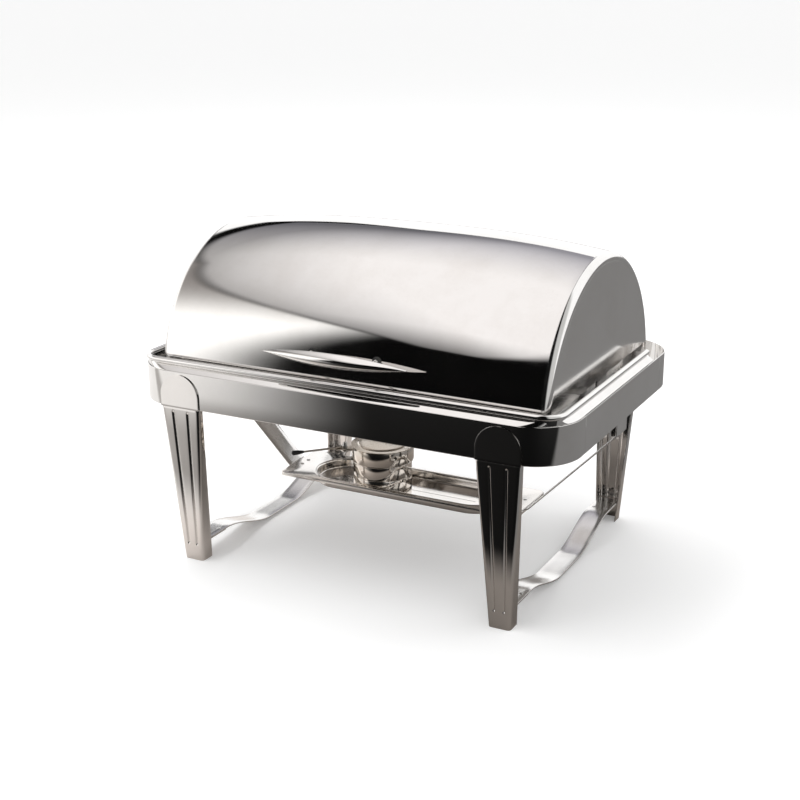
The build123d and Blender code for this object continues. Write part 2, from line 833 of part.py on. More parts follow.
# Hangers: flat straps from the shelf up to the inside of each skirt end
shelf_half = shelf_length / 2
hanger_face = inner_x - sheet
knee_z = skirt_bottom - hanger_knee_drop
foot_top = shelf_top - shelf_sheet
with BuildPart() as hanger_right:
    with BuildSketch(Plane.XZ.offset(-hanger_width / 2)):
        with BuildLine():
            hanger_line = Polyline(
                (shelf_half - hanger_foot, foot_top - hanger_sheet / 2),
                (shelf_half + hanger_sheet, foot_top - hanger_sheet / 2),
                (hanger_face - hanger_sheet / 2, knee_z),
                (hanger_face - hanger_sheet / 2, skirt_bottom + hanger_weld),
            )
        trace(hanger_line, hanger_sheet)
    extrude(amount=hanger_width)
save(hanger_right, "hanger_right")

with BuildPart() as hanger_left:
    mirror(hanger_right.part, about=Plane.YZ)
save(hanger_left, "hanger_left")

with BuildPart() as shelf_rivets:
    for side in (-1, 1):
        for across in (-rivet_spacing / 2, rivet_spacing / 2):
            rivet_x = side * (shelf_half - hanger_foot / 2)
            with Locations((rivet_x, across, shelf_top + rivet_head / 2)):
                Cylinder(rivet_radius, rivet_head)
    fillet(shelf_rivets.faces().group_by(Axis.Z)[-1].edges(), rivet_head / 2)
save(shelf_rivets, "shelf_rivets")

# Fuel holder: a cup in the track, a collar round its mouth and a swinging damper
cup_floor = track_floor + body_gap
cup_top = cup_floor + holder_body_height
collar_low = cup_floor + collar_seat
collar_top = collar_low + collar_height
collar_radius = holder_radius + collar_standoff
with BuildPart() as fuel_cup:
    with BuildSketch(Plane.XY.offset(cup_floor)):
        with Locations((holder_x, 0)):
            Circle(holder_radius)
    extrude(amount=holder_body_height)
    fillet(fuel_cup.faces().sort_by(Axis.Z)[0].edges(), collar_standoff)
    with BuildSketch(Plane.XY.offset(cup_floor + holder_sheet)):
        with Locations((holder_x, 0)):
            Circle(holder_radius - holder_sheet)
    extrude(amount=holder_body_height, mode=Mode.SUBTRACT)
save(fuel_cup, "fuel_cup")

with BuildPart() as fuel_collar:
    with BuildSketch(Plane.XY.offset(collar_low)):
        with Locations((holder_x, 0)):
            Circle(collar_radius)
            Circle(holder_radius, mode=Mode.SUBTRACT)
    extrude(amount=collar_height)
    with BuildSketch(Plane.XY.offset(collar_low + holder_sheet)):
        with Locations((holder_x, 0)):
            Circle(collar_radius - holder_sheet)
            Circle(holder_radius, mode=Mode.SUBTRACT)
    extrude(amount=collar_height, mode=Mode.SUBTRACT)
    fillet(fuel_collar.faces().sort_by(Axis.Z)[0].edges().sort_by(SortBy.RADIUS)[-1], holder_sheet)
    hole_angle = radians(damper_angle + hole_from_lever)
    hole_direction = (cos(hole_angle), sin(hole_angle), 0)
    with BuildSketch(Plane((holder_x, 0, collar_top - draught_hole_drop), z_dir=hole_direction)):
        Circle(draught_hole)
    extrude(amount=2 * collar_radius, mode=Mode.SUBTRACT)
save(fuel_collar, "fuel_collar")

with BuildPart() as collar_bead:
    with BuildSketch(Plane.XZ):
        with Locations((holder_x + holder_radius + holder_sheet, collar_low - holder_sheet)):
            Circle(holder_sheet)
    revolve(axis=Axis((holder_x, 0, 0), (0, 0, 1)))
save(collar_bead, "collar_bead")

# Damper: a disc that swings about an upright pin beside the cup
out_x = cos(radians(damper_angle))
out_y = sin(radians(damper_angle))
damper_low = collar_top + damper_gap
damper_top = damper_low + damper_sheet
pin_out = collar_radius + damper_pivot_out
along = Plane((holder_x, 0, 0), x_dir=(out_x, out_y, 0), z_dir=(0, 0, 1))
tongue_end = pin_out + tongue_reach
with BuildPart() as damper_lid:
    with BuildSketch(along.offset(damper_low)):
        Circle(collar_radius)
        with Locations((tongue_end / 2, 0)):
            Rectangle(tongue_end, lever_arm_width)
        with Locations((pin_out, 0)):
            Circle(damper_pin_radius + running_gap, mode=Mode.SUBTRACT)
    extrude(amount=damper_sheet)
    with BuildSketch(along.offset(damper_top)):
        Circle(collar_radius - damper_flat_rim)
    extrude(amount=damper_crown, taper=damper_crown_taper)
save(damper_lid, "damper_lid")

lug_top = collar_top - holder_sheet
lug_low = lug_top - 2 * holder_sheet
with BuildPart() as damper_lug:
    with BuildSketch(along.offset(lug_low)):
        with Locations((pin_out / 2, 0)):
            Rectangle(pin_out, lever_arm_width)
        with Locations((pin_out, 0)):
            Circle(lever_arm_width / 2)
        Circle(collar_radius, mode=Mode.SUBTRACT)
        with Locations((pin_out, 0)):
            Circle(damper_pin_radius, mode=Mode.SUBTRACT)
    extrude(amount=lug_top - lug_low)
save(damper_lug, "damper_lug")

pin_low = lug_low - 2 * holder_sheet
with BuildPart() as damper_pin:
    with BuildSketch(along.offset(pin_low)):
        with Locations((pin_out, 0)):
            Circle(2 * damper_pin_radius)
    extrude(amount=2 * holder_sheet)
    with BuildSketch(along.offset(pin_low)):
        with Locations((pin_out, 0)):
            Circle(damper_pin_radius)
    extrude(amount=damper_top + damper_gap - pin_low)
    with BuildSketch(along.offset(damper_top + damper_gap)):
        with Locations((pin_out, 0)):
            Circle(pin_head_radius)
    extrude(amount=pin_head_height)
    fillet(damper_pin.faces().sort_by(Axis.Z)[-1].edges(), pin_head_radius / 3)
save(damper_pin, "damper_pin")

# Lever: a round rod welded on the damper's tongue, with an insulating knob
lever_start = pin_out + pin_head_radius + 2 * damper_gap
lever_sink = damper_sheet / 3
lever_z = damper_top + lever_radius - lever_sink
lever_plane = Plane(
    (holder_x + lever_start * out_x, lever_start * out_y, lever_z), z_dir=(out_x, out_y, 0)
)
with BuildPart() as damper_lever:
    with BuildSketch(lever_plane):
        Circle(lever_radius)
    extrude(amount=lever_reach)
save(damper_lever, "damper_lever")

with BuildPart() as lever_knob:
    with BuildSketch(lever_plane.offset(lever_reach - knob_overlap)):
        Circle(knob_radius)
    extrude(amount=knob_length)
    fillet(lever_knob.edges().filter_by(GeomType.CIRCLE), knob_radius / 2)
    with BuildSketch(lever_plane.offset(lever_reach - knob_overlap)):
        Circle(lever_radius)
    extrude(amount=knob_overlap, mode=Mode.SUBTRACT)
save(lever_knob, "lever_knob")
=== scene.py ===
import json
from math import acos, asin, cos, hypot, pi, radians, sin, sqrt

import bmesh
import bpy
from mathutils import Matrix, Vector

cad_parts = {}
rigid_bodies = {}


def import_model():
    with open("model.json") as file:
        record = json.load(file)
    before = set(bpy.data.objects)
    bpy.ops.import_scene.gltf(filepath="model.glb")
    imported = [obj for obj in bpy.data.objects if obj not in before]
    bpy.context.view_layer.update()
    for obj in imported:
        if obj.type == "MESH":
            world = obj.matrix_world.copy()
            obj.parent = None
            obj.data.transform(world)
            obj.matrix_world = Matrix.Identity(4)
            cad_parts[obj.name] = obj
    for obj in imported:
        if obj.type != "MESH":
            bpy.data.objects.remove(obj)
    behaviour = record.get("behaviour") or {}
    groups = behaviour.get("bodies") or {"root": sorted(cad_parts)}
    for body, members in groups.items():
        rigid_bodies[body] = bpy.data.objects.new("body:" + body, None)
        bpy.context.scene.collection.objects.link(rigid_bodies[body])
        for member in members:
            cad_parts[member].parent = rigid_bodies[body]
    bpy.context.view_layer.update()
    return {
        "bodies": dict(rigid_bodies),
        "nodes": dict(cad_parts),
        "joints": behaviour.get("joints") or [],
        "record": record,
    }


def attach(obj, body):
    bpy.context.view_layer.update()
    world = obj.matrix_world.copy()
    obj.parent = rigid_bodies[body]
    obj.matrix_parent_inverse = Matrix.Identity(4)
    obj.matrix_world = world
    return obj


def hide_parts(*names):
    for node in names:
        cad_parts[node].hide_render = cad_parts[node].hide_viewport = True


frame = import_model()
nodes = frame["nodes"]
mm = 0.001
print("frame loaded,", len(nodes), "nodes")


stage = {
    "camera": (0.870, -1.685, 0.824),
    "turn": 26.9,
    "pitch": 72.1,
    "lens": 62.7,
    "shift": -0.024,
    "floorHalf": 40.0,
    "boxPower": 60,
    "fillPower": 11,
    "worldPale": 0.84,
    "floorGlow": 0.16,
}

cameraData = bpy.data.cameras.new("studioCamera")
camera = bpy.data.objects.new("studioCamera", cameraData)
bpy.context.scene.collection.objects.link(camera)
camera.location = stage["camera"]
camera.rotation_euler = (radians(stage["pitch"]), 0, radians(stage["turn"]))
cameraData.lens = stage["lens"]
cameraData.sensor_width = 36
cameraData.shift_x = stage["shift"]
cameraData.clip_start = 0.05
cameraData.clip_end = 200
bpy.context.scene.camera = camera
bpy.context.scene.view_settings.view_transform = "Standard"


def newMaterial(name):
    material = bpy.data.materials.new(name)
    material.use_nodes = True
    tree = material.node_tree
    shader = tree.nodes["Principled BSDF"]
    return material, tree, shader


def addNode(tree, kind, inputs=None, **settings):
    node = tree.nodes.new(kind)
    for key, value in settings.items():
        setattr(node, key, value)
    for key, value in (inputs or {}).items():
        if isinstance(value, bpy.types.NodeSocket):
            tree.links.new(value, node.inputs[key])
        else:
            node.inputs[key].default_value = value
    return node


def mathNode(tree, operation, first, second=0.0, clamp=False):
    return addNode(
        tree, "ShaderNodeMath", {0: first, 1: second}, operation=operation, use_clamp=clamp,
    ).outputs[0]


def rampNode(tree, value, stops):
    ramp = addNode(tree, "ShaderNodeValToRGB", {0: value})
    elements = ramp.color_ramp.elements
    while len(elements) < len(stops):
        elements.new(0.5)
    for element, (position, shade) in zip(elements, stops):
        element.position = position
        element.color = shade if isinstance(shade, tuple) else (shade, shade, shade, 1)
    return ramp.outputs[0]


def smoothStep(tree, value, low, high):
    # 0 at low and 1 at high, whichever is the larger
    down = low > high
    limits = {
        0: value, 1: min(low, high), 2: max(low, high), 3: 1.0 if down else 0.0,
        4: 0.0 if down else 1.0,
    }
    return addNode(tree, "ShaderNodeMapRange", limits, interpolation_type="SMOOTHSTEP").outputs[0]


def linearStep(tree, value, low, high, atLow, atHigh):
    if low > high:
        low, high, atLow, atHigh = high, low, atHigh, atLow
    return addNode(tree, "ShaderNodeMapRange", {0: value, 1: low, 2: high, 3: atLow, 4: atHigh}).outputs[0]


def mixColour(tree, share, first, second):
    return addNode(tree, "ShaderNodeMix", {0: share, 6: first, 7: second}, data_type="RGBA").outputs[2]


def makeFloor():
    mesh = bpy.data.meshes.new("floor")
    half = stage["floorHalf"]
    mesh.from_pydata(
        [(-half, -half, 0), (half, -half, 0), (half, half, 0), (-half, half, 0)], [], [(0, 1, 2, 3)],
    )
    floor = bpy.data.objects.new("floor", mesh)
    bpy.context.scene.collection.objects.link(floor)
    material, tree, shader = newMaterial("paleFloor")
    shader.inputs["Roughness"].default_value = 0.7
    shader.inputs["Specular IOR Level"].default_value = 0.1
    # pale to the eye; the steel mirrors a painted reflection on the floor: beige round the chafer, a pale
    # left and a dark front
    coordinates = addNode(tree, "ShaderNodeTexCoord").outputs["Object"]
    lightPath = addNode(tree, "ShaderNodeLightPath")
    axes = addNode(tree, "ShaderNodeSeparateXYZ", {0: coordinates}).outputs
    away = mathNode(tree, "MULTIPLY", axes["Y"], -1.0)
    slant = mathNode(tree, "ADD", axes["X"], mathNode(tree, "MULTIPLY", away, 0.54))
    # painted reflection: a near-black patch in front and to the right, mixed in only for glossy rays
    dark = mathNode(
        tree, "MULTIPLY", smoothStep(tree, away, 0.30, 0.40), smoothStep(tree, slant, -0.30, 0.165),
    )
    left = smoothStep(tree, axes["X"], 0.02, -0.34)
    # painted reflection: a darker band across the left part of the floor, seen only in the steel
    band = mathNode(
        tree, "MULTIPLY", smoothStep(tree, away, 0.34, 0.44), smoothStep(tree, away, 0.72, 0.54),
    )
    reach = addNode(tree, "ShaderNodeVectorMath", {0: coordinates}, operation="LENGTH").outputs["Value"]
    # painted reflection: a warm beige tone round the chafer's feet, seen only in the steel
    near = mathNode(tree, "MULTIPLY", smoothStep(tree, reach, 0.60, 0.36), 0.8)
    leftShade = mixColour(tree, band, (0.80, 0.785, 0.77, 1), (0.40, 0.385, 0.37, 1))
    nearPaintedReflection = mixColour(tree, left, (0.32, 0.285, 0.255, 1), (0.80, 0.735, 0.69, 1))
    # painted reflection: grey at the right, the painted left tones further left
    shade = mixColour(tree, left, (0.20, 0.197, 0.194, 1), leftShade)
    shade = mixColour(tree, near, shade, nearPaintedReflection)
    shade = mixColour(tree, dark, shade, (0.001, 0.001, 0.001, 1))
    grain = addNode(
        tree, "ShaderNodeTexNoise", {"Vector": coordinates, "Scale": 3.0, "Detail": 3.0},
    ).outputs["Fac"]
    pale = rampNode(tree, grain, [(0.3, (0.93, 0.93, 0.93, 1)), (0.7, (0.94, 0.94, 0.94, 1))])
    # glossy rays see the painted reflection colours, all other rays see the pale floor
    tree.links.new(
        mixColour(tree, lightPath.outputs["Is Glossy Ray"], pale, shade), shader.inputs["Base Color"],
    )
    # painted glow: the floor emits light to camera rays only, lifting the shadow under the chafer
    glow = mixColour(tree, lightPath.outputs["Is Camera Ray"], (0, 0, 0, 1), (1, 1, 1, 1))
    tree.links.new(glow, shader.inputs["Emission Color"])
    shader.inputs["Emission Strength"].default_value = stage["floorGlow"]
    mesh.materials.append(material)


def areaLight(name, place, towards, size, power, colour=(1, 1, 1)):
    data = bpy.data.lights.new(name, "AREA")
    data.shape = "RECTANGLE"
    data.size, data.size_y = size
    data.energy = power
    data.color = colour
    lamp = bpy.data.objects.new(name, data)
    bpy.context.scene.collection.objects.link(lamp)
    lamp.location = place
    lamp.rotation_mode = "QUATERNION"
    lamp.rotation_quaternion = (Vector(place) - Vector(towards)).to_track_quat("Z", "Y")
    lamp.visible_camera = False
    lamp.visible_glossy = False
    return lamp


room = {
    "left": -0.90,
    "right": -0.17,
    "back": 1.76,
    "front": -1.66,
    "edge": 0.03,
    "boxLevel": 1.16,
    "dark": (0.003, 0.003, 0.003, 1),
    "backWall": (1.25, 1.25, 1.25, 1),
    "leftLow": (1.50, 1.48, 1.45, 1),
    "leftHigh": (0.36, 0.335, 0.32, 1),
    "rightWall": (0.70, 0.70, 0.69, 1),
}


def makeWorld():
    world = bpy.data.worlds.new("studioRoom")
    bpy.context.scene.world = world
    world.use_nodes = True
    tree = world.node_tree
    background = tree.nodes["Background"]
    direction = addNode(tree, "ShaderNodeTexCoord").outputs["Generated"]
    x, y, z = addNode(tree, "ShaderNodeSeparateXYZ", {0: direction}).outputs
    up = mathNode(tree, "MAXIMUM", z, 0.02)
    # where a direction meets a flat ceiling one unit up
    u = mathNode(tree, "DIVIDE", x, up)
    v = mathNode(tree, "DIVIDE", y, up)
    toBack = mathNode(tree, "MAXIMUM", v, 0.0)
    toFront = mathNode(tree, "MINIMUM", v, 0.0)

    def times(first, second):
        return mathNode(tree, "MULTIPLY", first, second)

    def plus(first, second):
        return mathNode(tree, "ADD", first, second)

    def patch(lean, left, right, back, front):
        # the soft box on that ceiling: its left side leans, its right side bows
        soft = room["edge"]
        fromLeft = plus(u, times(toBack, lean))
        fromRight = plus(u, plus(times(times(toFront, toFront), 0.22), times(times(toBack, toBack), 0.09)))
        result = smoothStep(tree, fromLeft, left - soft, left + soft)
        result = times(result, smoothStep(tree, fromRight, right + soft, right - soft))
        result = times(result, smoothStep(tree, v, front - soft, front + soft))
        return times(result, smoothStep(tree, mathNode(tree, "SUBTRACT", v, back), soft, -soft))

    # the soft box is brightest in its middle and at the right, and lilac at the back
    level = times(linearStep(tree, v, 1.50, 0.15, 0.33, 1.0), linearStep(tree, u, -0.90, -0.54, 0.44, 1.0))
    level = times(times(level, linearStep(tree, v, -1.62, -0.95, 0.40, 1.0)), room["boxLevel"])
    tint = mixColour(
        tree, linearStep(tree, v, 1.5, 0.3, 0.0, 1.0), (0.97, 0.955, 1.05, 1), (1.02, 0.99, 0.98, 1),
    )
    boxShade = addNode(
        tree, "ShaderNodeVectorMath", {0: tint, "Scale": level}, operation="SCALE",
    ).outputs[0]
    # the room: pale wall at the left and the back, dark in front, pale again at the right
    across = mathNode(tree, "SQRT", mathNode(tree, "SUBTRACT", 1.001, times(z, z)))
    side = mathNode(tree, "DIVIDE", x, across)
    left = smoothStep(tree, side, -0.515, -0.60)
    back = smoothStep(tree, y, 0.02, 0.20)
    right = smoothStep(tree, side, 0.45, 0.75)
    leftShade = mixColour(tree, smoothStep(tree, z, 0.44, 0.72), room["leftLow"], room["leftHigh"])
    shade = mixColour(tree, left, room["dark"], leftShade)
    shade = mixColour(tree, right, shade, room["rightWall"])
    shade = mixColour(tree, back, shade, room["backWall"])
    gap = linearStep(tree, u, -1.30, -1.0, 0.25, 0.0)
    frameBack = mathNode(tree, "ADD", gap, room["back"] + 0.02)
    frame = patch(0.36, room["left"] - 0.02, room["right"] + 0.07, frameBack, room["front"] - 0.1)
    shade = mixColour(tree, frame, shade, room["dark"])
    shade = mixColour(
        tree, patch(0.26, room["left"], room["right"], room["back"], room["front"]), shade, boxShade,
    )
    pale = (stage["worldPale"],) * 3 + (1,)
    glossy = addNode(tree, "ShaderNodeLightPath").outputs["Is Glossy Ray"]
    tree.links.new(mixColour(tree, glossy, pale, shade), background.inputs["Color"])


makeFloor()
makeWorld()
boxHigh = 2.0
areaLight(
    "overheadBox", (-0.575 * boxHigh, 0.1 * boxHigh, 0.40 + boxHigh),
    (-0.575 * boxHigh, 0.1 * boxHigh, 0), (0.65 * boxHigh, 3.2 * boxHigh), stage["boxPower"],
)
areaLight("sideFill", (3.2, 1.6, 1.3), (0, 0, 0.2), (1.6, 1.8), stage["fillPower"])
print("camera, floor and light ready")


def groupSockets(group, inputs, outputs):
    for name, kind, value in inputs:
        socket = group.interface.new_socket(name=name, in_out="INPUT", socket_type=kind)
        if value is not None:
            socket.default_value = value
    for name, kind in outputs:
        group.interface.new_socket(name=name, in_out="OUTPUT", socket_type=kind)


def makeSteelSkin():
    group = bpy.data.node_groups.new("steelSkin", "ShaderNodeTree")
    groupSockets(
        group,
        [
            ("Wave", "NodeSocketFloat", 0.15),
            ("Wave Scale", "NodeSocketFloat", 9.0),
            ("Grain", "NodeSocketFloat", 0.05),
            ("Grain Stretch", "NodeSocketVector", (1.0, 1.0, 40.0)),
            ("Low Roughness", "NodeSocketFloat", 0.03),
            ("High Roughness", "NodeSocketFloat", 0.10),
            ("Tint", "NodeSocketColor", (0.80, 0.79, 0.78, 1)),
            ("Smudge Tint", "NodeSocketColor", (0.72, 0.70, 0.68, 1)),
        ],
        [("Colour", "NodeSocketColor"), ("Roughness", "NodeSocketFloat"), ("Normal", "NodeSocketVector")],
    )
    entry = group.nodes.new("NodeGroupInput").outputs
    exit = group.nodes.new("NodeGroupOutput")
    coordinates = addNode(group, "ShaderNodeTexCoord").outputs["Object"]
    smudge = addNode(
        group, "ShaderNodeTexNoise",
        {"Vector": coordinates, "Scale": 14.0, "Detail": 5.0, "Roughness": 0.62},
    ).outputs["Fac"]
    smudgeMask = rampNode(group, smudge, [(0.42, 0.0), (0.72, 1.0)])
    stretched = addNode(
        group, "ShaderNodeVectorMath", {0: coordinates, 1: entry["Grain Stretch"]},
        operation="MULTIPLY",
    ).outputs[0]
    lines = addNode(
        group, "ShaderNodeTexNoise",
        {"Vector": stretched, "Scale": 70.0, "Detail": 6.0, "Roughness": 0.7},
    ).outputs["Fac"]
    scratches = addNode(
        group, "ShaderNodeTexNoise",
        {"Vector": coordinates, "Scale": 220.0, "Detail": 2.0, "Distortion": 1.6},
    ).outputs["Fac"]
    scratchMask = rampNode(group, scratches, [(0.66, 0.0), (0.78, 1.0)])
    roughMix = mathNode(group, "MULTIPLY", smudgeMask, 0.6)
    roughMix = mathNode(group, "ADD", roughMix, mathNode(group, "MULTIPLY", lines, 0.35))
    roughMix = mathNode(group, "ADD", roughMix, mathNode(group, "MULTIPLY", scratchMask, 0.35), clamp=True)
    roughness = addNode(
        group, "ShaderNodeMix", {0: roughMix, 2: entry["Low Roughness"], 3: entry["High Roughness"]},
    ).outputs[0]
    colour = addNode(
        group, "ShaderNodeMix", {0: roughMix, 6: entry["Tint"], 7: entry["Smudge Tint"]},
        data_type="RGBA",
    ).outputs[2]
    wave = addNode(
        group, "ShaderNodeTexNoise",
        {"Vector": coordinates, "Scale": entry["Wave Scale"], "Detail": 1.0},
    ).outputs["Fac"]
    waveHeight = mathNode(group, "MULTIPLY", wave, mathNode(group, "MULTIPLY", entry["Wave"], 0.001))
    waveBump = addNode(
        group, "ShaderNodeBump", {"Strength": 1.0, "Distance": 1.0, "Height": waveHeight},
    ).outputs[0]
    lineHeight = mathNode(group, "MULTIPLY", lines, mathNode(group, "MULTIPLY", entry["Grain"], 0.0001))
    normal = addNode(
        group, "ShaderNodeBump",
        {"Strength": 1.0, "Distance": 1.0, "Height": lineHeight, "Normal": waveBump},
    ).outputs[0]
    group.links.new(colour, exit.inputs["Colour"])
    group.links.new(roughness, exit.inputs["Roughness"])
    group.links.new(normal, exit.inputs["Normal"])
    return group


def makeMouldedSkin():
    group = bpy.data.node_groups.new("mouldedSkin", "ShaderNodeTree")
    groupSockets(
        group,
        [
            ("Tint", "NodeSocketColor", (0.02, 0.02, 0.02, 1)),
            ("Worn Tint", "NodeSocketColor", (0.07, 0.07, 0.07, 1)),
            ("Grain Scale", "NodeSocketFloat", 900.0),
            ("Grain", "NodeSocketFloat", 0.04),
            ("Low Roughness", "NodeSocketFloat", 0.3),
            ("High Roughness", "NodeSocketFloat", 0.5),
        ],
        [("Colour", "NodeSocketColor"), ("Roughness", "NodeSocketFloat"), ("Normal", "NodeSocketVector")],
    )
    entry = group.nodes.new("NodeGroupInput").outputs
    exit = group.nodes.new("NodeGroupOutput")
    coordinates = addNode(group, "ShaderNodeTexCoord").outputs["Object"]
    cloud = addNode(
        group, "ShaderNodeTexNoise", {"Vector": coordinates, "Scale": 60.0, "Detail": 4.0},
    ).outputs["Fac"]
    pits = addNode(
        group, "ShaderNodeTexVoronoi", {"Vector": coordinates, "Scale": entry["Grain Scale"]},
    ).outputs["Distance"]
    worn = rampNode(group, cloud, [(0.45, 0.0), (0.75, 1.0)])
    colour = addNode(
        group, "ShaderNodeMix", {0: worn, 6: entry["Tint"], 7: entry["Worn Tint"]}, data_type="RGBA",
    ).outputs[2]
    roughness = addNode(
        group, "ShaderNodeMix", {0: cloud, 2: entry["Low Roughness"], 3: entry["High Roughness"]},
    ).outputs[0]
    height = mathNode(group, "MULTIPLY", pits, mathNode(group, "MULTIPLY", entry["Grain"], 0.001))
    normal = addNode(
        group, "ShaderNodeBump", {"Strength": 1.0, "Distance": 1.0, "Height": height},
    ).outputs[0]
    group.links.new(colour, exit.inputs["Colour"])
    group.links.new(roughness, exit.inputs["Roughness"])
    group.links.new(normal, exit.inputs["Normal"])
    return group


steelSkin = makeSteelSkin()
mouldedSkin = makeMouldedSkin()


def steelFinish(name, anisotropy=0.0, **values):
    material, tree, shader = newMaterial(name)
    skin = addNode(tree, "ShaderNodeGroup", node_tree=steelSkin)
    for key, value in values.items():
        skin.inputs[key].default_value = value
    shader.inputs["Metallic"].default_value = 1.0
    shader.inputs["Anisotropic"].default_value = anisotropy
    tree.links.new(skin.outputs["Colour"], shader.inputs["Base Color"])
    tree.links.new(skin.outputs["Roughness"], shader.inputs["Roughness"])
    tree.links.new(skin.outputs["Normal"], shader.inputs["Normal"])
    return material


def mouldedFinish(name, gloss, **values):
    material, tree, shader = newMaterial(name)
    skin = addNode(tree, "ShaderNodeGroup", node_tree=mouldedSkin)
    for key, value in values.items():
        skin.inputs[key].default_value = value
    shader.inputs["Specular IOR Level"].default_value = gloss
    tree.links.new(skin.outputs["Colour"], shader.inputs["Base Color"])
    tree.links.new(skin.outputs["Roughness"], shader.inputs["Roughness"])
    tree.links.new(skin.outputs["Normal"], shader.inputs["Normal"])
    return material


def named(**values):
    return {key.replace("_", " "): value for key, value in values.items()}


lidSteel = steelFinish(
    "lidSteel",
    **named(
        Wave=0.05, Wave_Scale=5.0, Grain=0.015, Grain_Stretch=(0.6, 14.0, 14.0), Low_Roughness=0.025,
        High_Roughness=0.075,
    )
)
wallSteel = steelFinish(
    "lidEndSteel",
    **named(
        Wave=0.10, Wave_Scale=7.0, Grain=0.05, Grain_Stretch=(8.0, 1.0, 8.0), Low_Roughness=0.10,
        High_Roughness=0.20,
    )
)
bandSteel = steelFinish(
    "bandSteel",
    **named(
        Wave=0.06, Wave_Scale=7.0, Grain=0.02, Grain_Stretch=(0.6, 0.6, 26.0), Low_Roughness=0.04,
        High_Roughness=0.10,
    )
)
rimSteel = steelFinish(
    "rimSteel",
    **named(
        Wave=0.04, Wave_Scale=9.0, Grain=0.006, Grain_Stretch=(0.6, 0.6, 26.0), Low_Roughness=0.03,
        High_Roughness=0.09,
    )
)
legSteel = steelFinish(
    "legSteel",
    **named(
        Wave=0.10, Wave_Scale=16.0, Grain=0.02, Grain_Stretch=(22.0, 22.0, 0.7), Low_Roughness=0.035,
        High_Roughness=0.10, Tint=(0.80, 0.775, 0.755, 1),
    )
)
strapSteel = steelFinish(
    "strapSteel", 0.35,
    **named(
        Wave=0.10, Wave_Scale=14.0, Grain=0.20, Grain_Stretch=(30.0, 1.0, 30.0), Low_Roughness=0.14,
        High_Roughness=0.28,
    )
)
shelfSteel = steelFinish(
    "shelfSteel", 0.2,
    **named(
        Wave=0.16, Wave_Scale=14.0, Grain=0.10, Grain_Stretch=(1.0, 30.0, 30.0), Low_Roughness=0.09,
        High_Roughness=0.20, Tint=(0.78, 0.75, 0.72, 1),
    )
)
panSteel = steelFinish(
    "panSteel", 0.2,
    **named(
        Wave=0.20, Wave_Scale=9.0, Grain=0.25, Grain_Stretch=(1.0, 24.0, 24.0), Low_Roughness=0.18,
        High_Roughness=0.34, Tint=(0.74, 0.73, 0.72, 1), Smudge_Tint=(0.66, 0.65, 0.63, 1),
    )
)
burnerSteel = steelFinish(
    "burnerSteel",
    **named(
        Wave=0.12, Wave_Scale=26.0, Grain=0.03, Grain_Stretch=(0.8, 0.8, 34.0), Low_Roughness=0.04,
        High_Roughness=0.13, Tint=(0.80, 0.76, 0.72, 1), Smudge_Tint=(0.66, 0.58, 0.48, 1),
    )
)
fastenerSteel = steelFinish(
    "fastenerSteel",
    **named(
        Wave=0.10, Wave_Scale=40.0, Grain=0.20, Grain_Stretch=(20.0, 20.0, 20.0), Low_Roughness=0.22,
        High_Roughness=0.38, Tint=(0.68, 0.68, 0.67, 1), Smudge_Tint=(0.58, 0.57, 0.55, 1),
    )
)
blackKnob = mouldedFinish(
    "blackKnob", 0.5,
    **named(
        Tint=(0.012, 0.012, 0.012, 1), Worn_Tint=(0.03, 0.03, 0.03, 1), Low_Roughness=0.22,
        High_Roughness=0.36,
    )
)
bumperRubber = mouldedFinish(
    "bumperRubber", 0.3,
    **named(
        Tint=(0.02, 0.02, 0.02, 1), Worn_Tint=(0.06, 0.06, 0.055, 1), Grain=0.12, Low_Roughness=0.55,
        High_Roughness=0.8,
    )
)
nylonWasher = mouldedFinish(
    "nylonWasher", 0.4,
    **named(
        Tint=(0.82, 0.80, 0.74, 1), Worn_Tint=(0.66, 0.62, 0.54, 1), Low_Roughness=0.35,
        High_Roughness=0.55,
    )
)
print("finishes ready")


def meshPiece(
    name, body, slot, material, points, faces, replaced, smoothBelow=35, merge=True, thickness=0,
    bevel=0,
):
    mesh = bpy.data.meshes.new(name)
    mesh.from_pydata([tuple(c * mm for c in p) for p in points], [], faces)
    work = bmesh.new()
    work.from_mesh(mesh)
    if merge:
        bmesh.ops.remove_doubles(work, verts=work.verts, dist=2e-6)
    bmesh.ops.recalc_face_normals(work, faces=work.faces)
    work.to_mesh(mesh)
    work.free()
    piece = bpy.data.objects.new(name, mesh)
    bpy.context.scene.collection.objects.link(piece)
    if thickness:
        shell = piece.modifiers.new("sheet", "SOLIDIFY")
        shell.thickness = thickness * mm
        shell.offset = 0
        shell.use_even_offset = True
    if bevel:
        soft = piece.modifiers.new("edge", "BEVEL")
        soft.width = bevel * mm
        soft.segments = 2
        soft.limit_method = "ANGLE"
        soft.angle_limit = radians(50)
        soft.harden_normals = False
    mesh.materials.append(material)
    mesh.shade_smooth()
    mesh.set_sharp_from_angle(angle=radians(smoothBelow))
    settle(piece, body, replaced)
    return piece


def settle(piece, body, replaced):
    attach(piece, body)
    if replaced:
        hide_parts(*([replaced] if isinstance(replaced, str) else replaced))


def applied(piece):
    bpy.context.view_layer.update()
    mesh = bpy.data.meshes.new_from_object(piece.evaluated_get(bpy.context.evaluated_depsgraph_get()))
    piece.modifiers.clear()
    piece.data = mesh
    return piece


def joinParts(parts):
    points, faces = [], []
    for somePoints, someFaces in parts:
        start = len(points)
        points += somePoints
        faces += [tuple(i + start for i in face) for face in someFaces]
    return points, faces


def gridFaces(rows, columns, closeRows=False, closeColumns=False):
    faces = []
    for r in range(rows if closeRows else rows - 1):
        for c in range(columns if closeColumns else columns - 1):
            r2, c2 = (r + 1) % rows, (c + 1) % columns
            faces.append((r * columns + c, r * columns + c2, r2 * columns + c2, r2 * columns + c))
    return faces


def mirrored(part, axis):
    points, faces = part
    flipped = [tuple(-v if i == axis else v for i, v in enumerate(p)) for p in points]
    return flipped, [tuple(reversed(face)) for face in faces]


